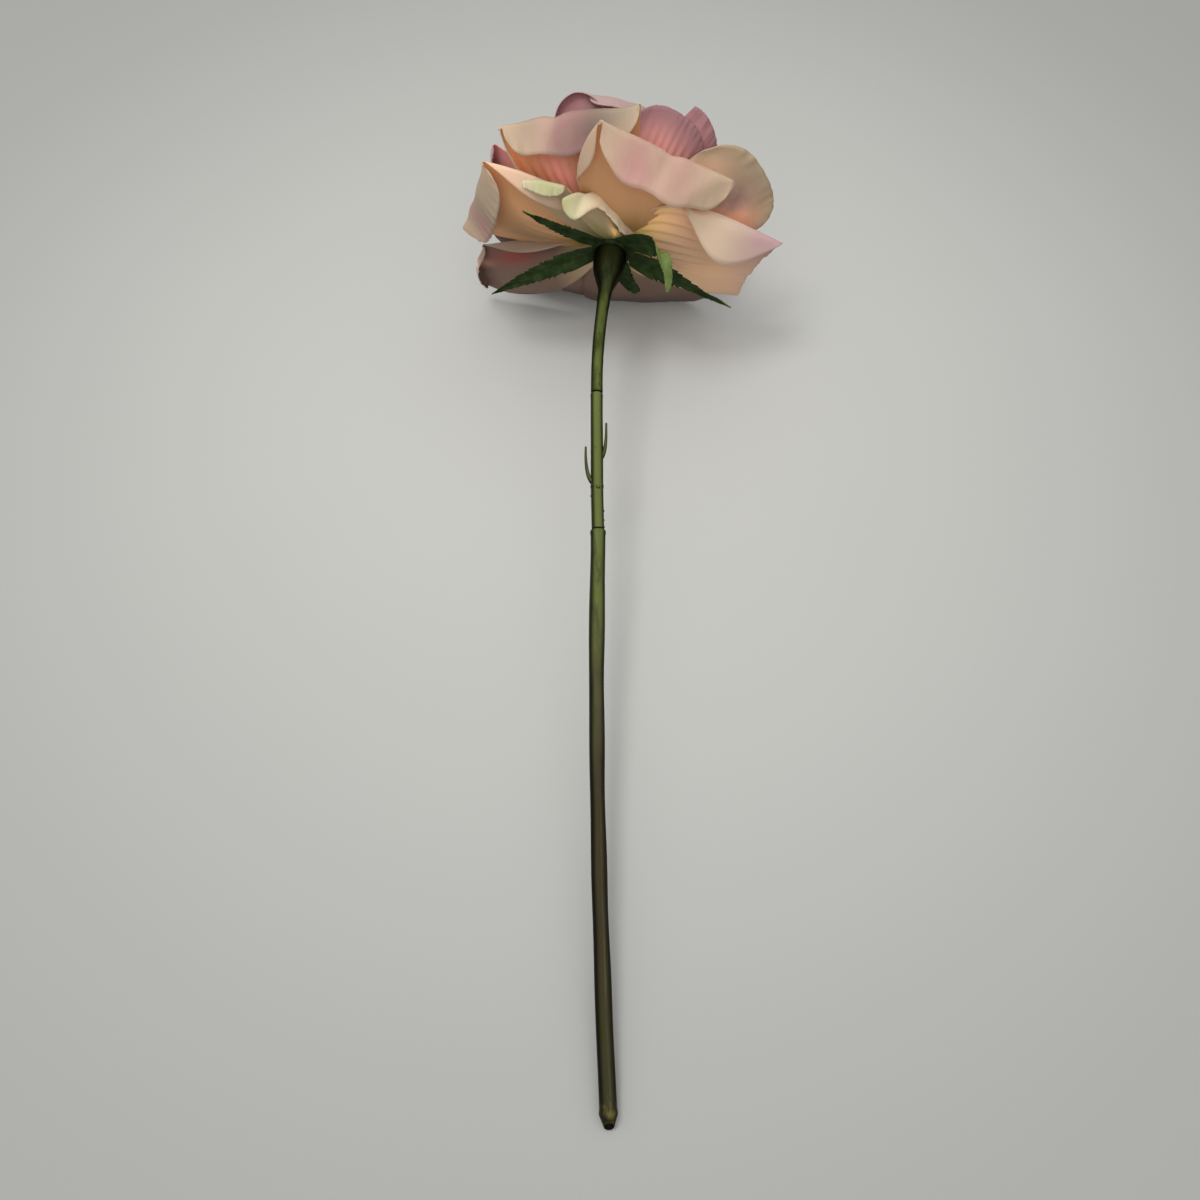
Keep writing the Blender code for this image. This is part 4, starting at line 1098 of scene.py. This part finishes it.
def make_stem():
    # Painted light: the upper stem is painted lighter near the neck, where the bloom shades it.
    upper = stem_plastic("stem_green", ((-20, GREEN), (40, GREEN), (66, (0.12, 0.15, 0.04))), DEEP_GREEN)
    lower = stem_plastic("stem_brown", (
        (12, DEEP_GREEN), (-12, (0.1, 0.118, 0.03)), (-50, (0.06, 0.056, 0.02)), (-75, BROWN),
        (-120, BROWN), (-145, OLIVE), (-160, OLIVE), (-164, LIP)), (0.035, 0.03, 0.02))
    # Painted shade: the bore is painted near black.
    bore_shade = stem_plastic("stem_bore_shade", ((0, BORE_SHADE), (-100, BORE_SHADE)), BORE_SHADE)
    foot = SLEEVE_TOP_Y + JOINT_GAP
    counterbore = SLEEVE_TOP_Y - SPIGOT_LENGTH - 0.5
    turned("stem_lower_tube", (
        (SPIGOT_R + JOINT_GAP, SLEEVE_TOP_Y), (2.2, SLEEVE_TOP_Y), (2.42, 9.15), (2.55, 8.8), (2.55, 8.1),
        (2.46, 7.7), (2.43, 7.0), (2.5, -12), (2.5, -28), (2.4, -45), (2.35, -60), (2.33, -75), (2.33, -90),
        (2.37, -105), (2.42, -118), (2.46, -132), (2.5, -145), (2.5, -162.6), (2.56, -163.2), (2.66, -163.7),
        (2.66, -164.3), (2.4, CUT_END_Y), (2.05, -166.1), (1.75, -167.2), (1.62, -168.0), (1.5, NIPPLE_END_Y),
        (MOUTH_R, NIPPLE_END_Y), (BORE_R, NIPPLE_END_Y + 3), (BORE_R, counterbore),
        (SPIGOT_R + JOINT_GAP, counterbore)),
        (lower, bore_shade), "stem_lower", seed=5)
    turned("stem_upper_tube", (
        (BORE_R, NECK_Y - JOINT_GAP), (1.85, NECK_Y - JOINT_GAP), (2.15, NECK_Y - 0.55), (2.2, NECK_Y - 1.0),
        (2.16, NECK_Y - 1.6), (UPPER_R, NECK_Y - 2.2), (UPPER_R, 25.6), (UPPER_R + 0.12, 25.2),
        (UPPER_R + 0.16, 24.8), (UPPER_R + 0.1, 24.4), (UPPER_R - 0.05, 24.1), (UPPER_R, 23.6),
        (UPPER_R, foot + 0.5), (UPPER_R - 0.1, foot), (SPIGOT_R, foot), (SPIGOT_R, foot - SPIGOT_LENGTH),
        (BORE_R, foot - SPIGOT_LENGTH)),
        (upper,), "stem_upper", seed=9)
    hooks = stem_plastic("stem_hook_green", ((34, (0.055, 0.065, 0.018)), (46, (0.075, 0.06, 0.025))),
                         DEEP_GREEN)
    for number, bend in enumerate(HOOKS):
        hook = bmesh.new()
        add_hook(hook, bend)
        piece(f"stem_hook_{number + 1}", hook, (hooks,), "stem_upper")
    nubs = bmesh.new()
    for at, angle, radius in NUBS:
        angle = math.radians(angle)
        around = np.array([math.cos(angle), 0, math.sin(angle)])
        spot = swayed_centre(np.array([at]))[0] + (UPPER_R - NUB_SINK) * around
        middle = Matrix.Translation(Vector((spot - MIDDLE) * MM))
        bmesh.ops.create_icosphere(nubs, subdivisions=2, radius=radius * MM, matrix=middle)
    piece("stem_nubs", nubs, (upper,), "stem_upper")
    top = station(CALYX_TOP)
    # Painted light: the calyx's narrow foot is painted lighter, where the bloom shades it.
    calyx = stem_plastic("calyx_green", (
        (60, (0.1, 0.125, 0.03)), (86, (0.075, 0.095, 0.022)), (102, (0.03, 0.038, 0.009)),
        (111, (0.016, 0.019, 0.005))), (0.012, 0.015, 0.004), (0.4, 0.55), 0.04)
    turned("calyx_bell", (
        (0, station(PEG_TOP)), (PEG_R, station(PEG_TOP)), (PEG_R, top), (CALYX_R - 0.6, top),
        (CALYX_R - 0.15, top - 0.2), (CALYX_R, top - 0.8), (5.9, 114), (5.7, 111.5), (5.35, 109), (4.8, 107),
        (4.1, 105), (3.4, 103.2), (2.9, 102), (2.5, 100.4), (2.35, 97), (2.15, 92), (2.1, 86), (2.05, 75),
        (2.05, 65), (2.1, NECK_Y + 0.9), (2.14, NECK_Y + 0.5), (1.95, NECK_Y), (BORE_R, NECK_Y),
        (BORE_R, WIRE_END_Y + 1), (0, WIRE_END_Y + 1)),
        (calyx,), "calyx", seed=13)


def make_wire():
    """The wire in the stem's bore, from the nipple to the calyx."""
    surface, tree, shader, _ = new_material("drawn_wire")
    feed_all(tree, shader, Base_Color=(0.42, 0.4, 0.37), Metallic=1.0, Roughness=0.38)
    low, high = NIPPLE_END_Y + 1.6, WIRE_END_Y
    turned("wire", (
        (0, high), (WIRE_R - 0.1, high), (WIRE_R, high - 0.1), (WIRE_R, low + 0.1), (WIRE_R - 0.1, low),
        (0, low)),
        (surface,), "wire_core", waver=0.0)


# The floor: its size, the spot of painted light round which it is palest, and its colours there and, as
# painted shade, further off.
FLOOR_SIZE = 4.0
PAINTED_LIGHT_SPOT = (0.0, 0.1, 0.0)
FLOOR_PALE = ((0.49, 0.492, 0.475), (0.51, 0.512, 0.495))
FLOOR_PAINTED_SHADE = (0.335, 0.338, 0.328)


def floor_material():
    surface, tree, shader, _ = new_material("pale_floor")
    spot = object_spot(tree)
    pale = blend(tree, span(tree, noise(tree, spot, 3.0, 4.0, 0.5), 0.3, 0.7), *FLOOR_PALE)
    # Painted light and shade: palest round a spot and darker further off, as if a lamp lit it most there.
    distance = add(tree, "ShaderNodeVectorMath", {"operation": "DISTANCE"}, Vector=spot)
    distance.inputs[1].default_value = PAINTED_LIGHT_SPOT
    colour = blend(tree, span(tree, distance.outputs["Value"], 0.02, 0.35), pale, FLOOR_PAINTED_SHADE)
    feed_all(tree, shader, Base_Color=colour, Roughness=0.75, Specular_IOR_Level=0.25)
    return surface


def make_floor():
    shape = bmesh.new()
    bmesh.ops.create_grid(shape, x_segments=1, y_segments=1, size=FLOOR_SIZE)
    mesh_object("floor", shape, (floor_material(),))


CAMERA_AT = np.array([-8.3, -188.0, 351.0])
CAMERA_TILT = 28.0
LENS = 34.5


def make_camera():
    lens = bpy.data.cameras.new("camera")
    lens.lens = LENS
    lens.clip_start = 0.01
    camera = in_scene("camera", lens)
    camera.location = (CAMERA_AT - MIDDLE) * MM
    camera.rotation_euler = (math.radians(CAMERA_TILT), 0, 0)
    SCENE.camera = camera


# Lamps: name, place, size, power and tint. All face one spot, and the last only shows in gloss.
LAMPS = (
    ("key", (-0.3, 0.1, 0.95), 0.36, 3.4, (1.0, 0.98, 0.95)),
    ("fill", (0.0, -0.7, 0.75), 0.9, 1.6, (1.0, 1.0, 1.0)),
    ("glint", (0.45, -0.2, 0.7), 0.12, 3.0, (1.0, 1.0, 1.0)),
)
LAMP_AIM = (0.0, 0.05, 0.02)
# The sky's tint, and its strength at the horizon and overhead.
SKY_TINT = (1.0, 1.0, 0.985, 1.0)
SKY_STRENGTH = (0.25, 1.05)


def make_light():
    sky = bpy.data.worlds.new("sky")
    sky.use_nodes = True
    tree = sky.node_tree
    backdrop = tree.nodes["Background"]
    backdrop.inputs["Color"].default_value = SKY_TINT
    ahead = add(tree, "ShaderNodeTexCoord").outputs["Generated"]
    height = add(tree, "ShaderNodeSeparateXYZ", Vector=ahead).outputs["Z"]
    tree.links.new(span(tree, height, 0.0, 1.0, *SKY_STRENGTH), backdrop.inputs["Strength"])
    SCENE.world = sky
    for name, at, size, power, tint in LAMPS:
        lamp = bpy.data.lights.new(name, "AREA")
        lamp.shape = "DISK"
        lamp.size = size
        lamp.energy = power
        lamp.color = tint
        made = in_scene(name, lamp)
        made.visible_diffuse = name != "glint"
        made.location = at
        made.rotation_euler = (Vector(LAMP_AIM) - Vector(at)).to_track_quat("-Z", "Y").to_euler()


make_petals()
make_sepals()
make_stem()
make_wire()
make_floor()
make_camera()
make_light()
SCENE.view_settings.view_transform = "Standard"
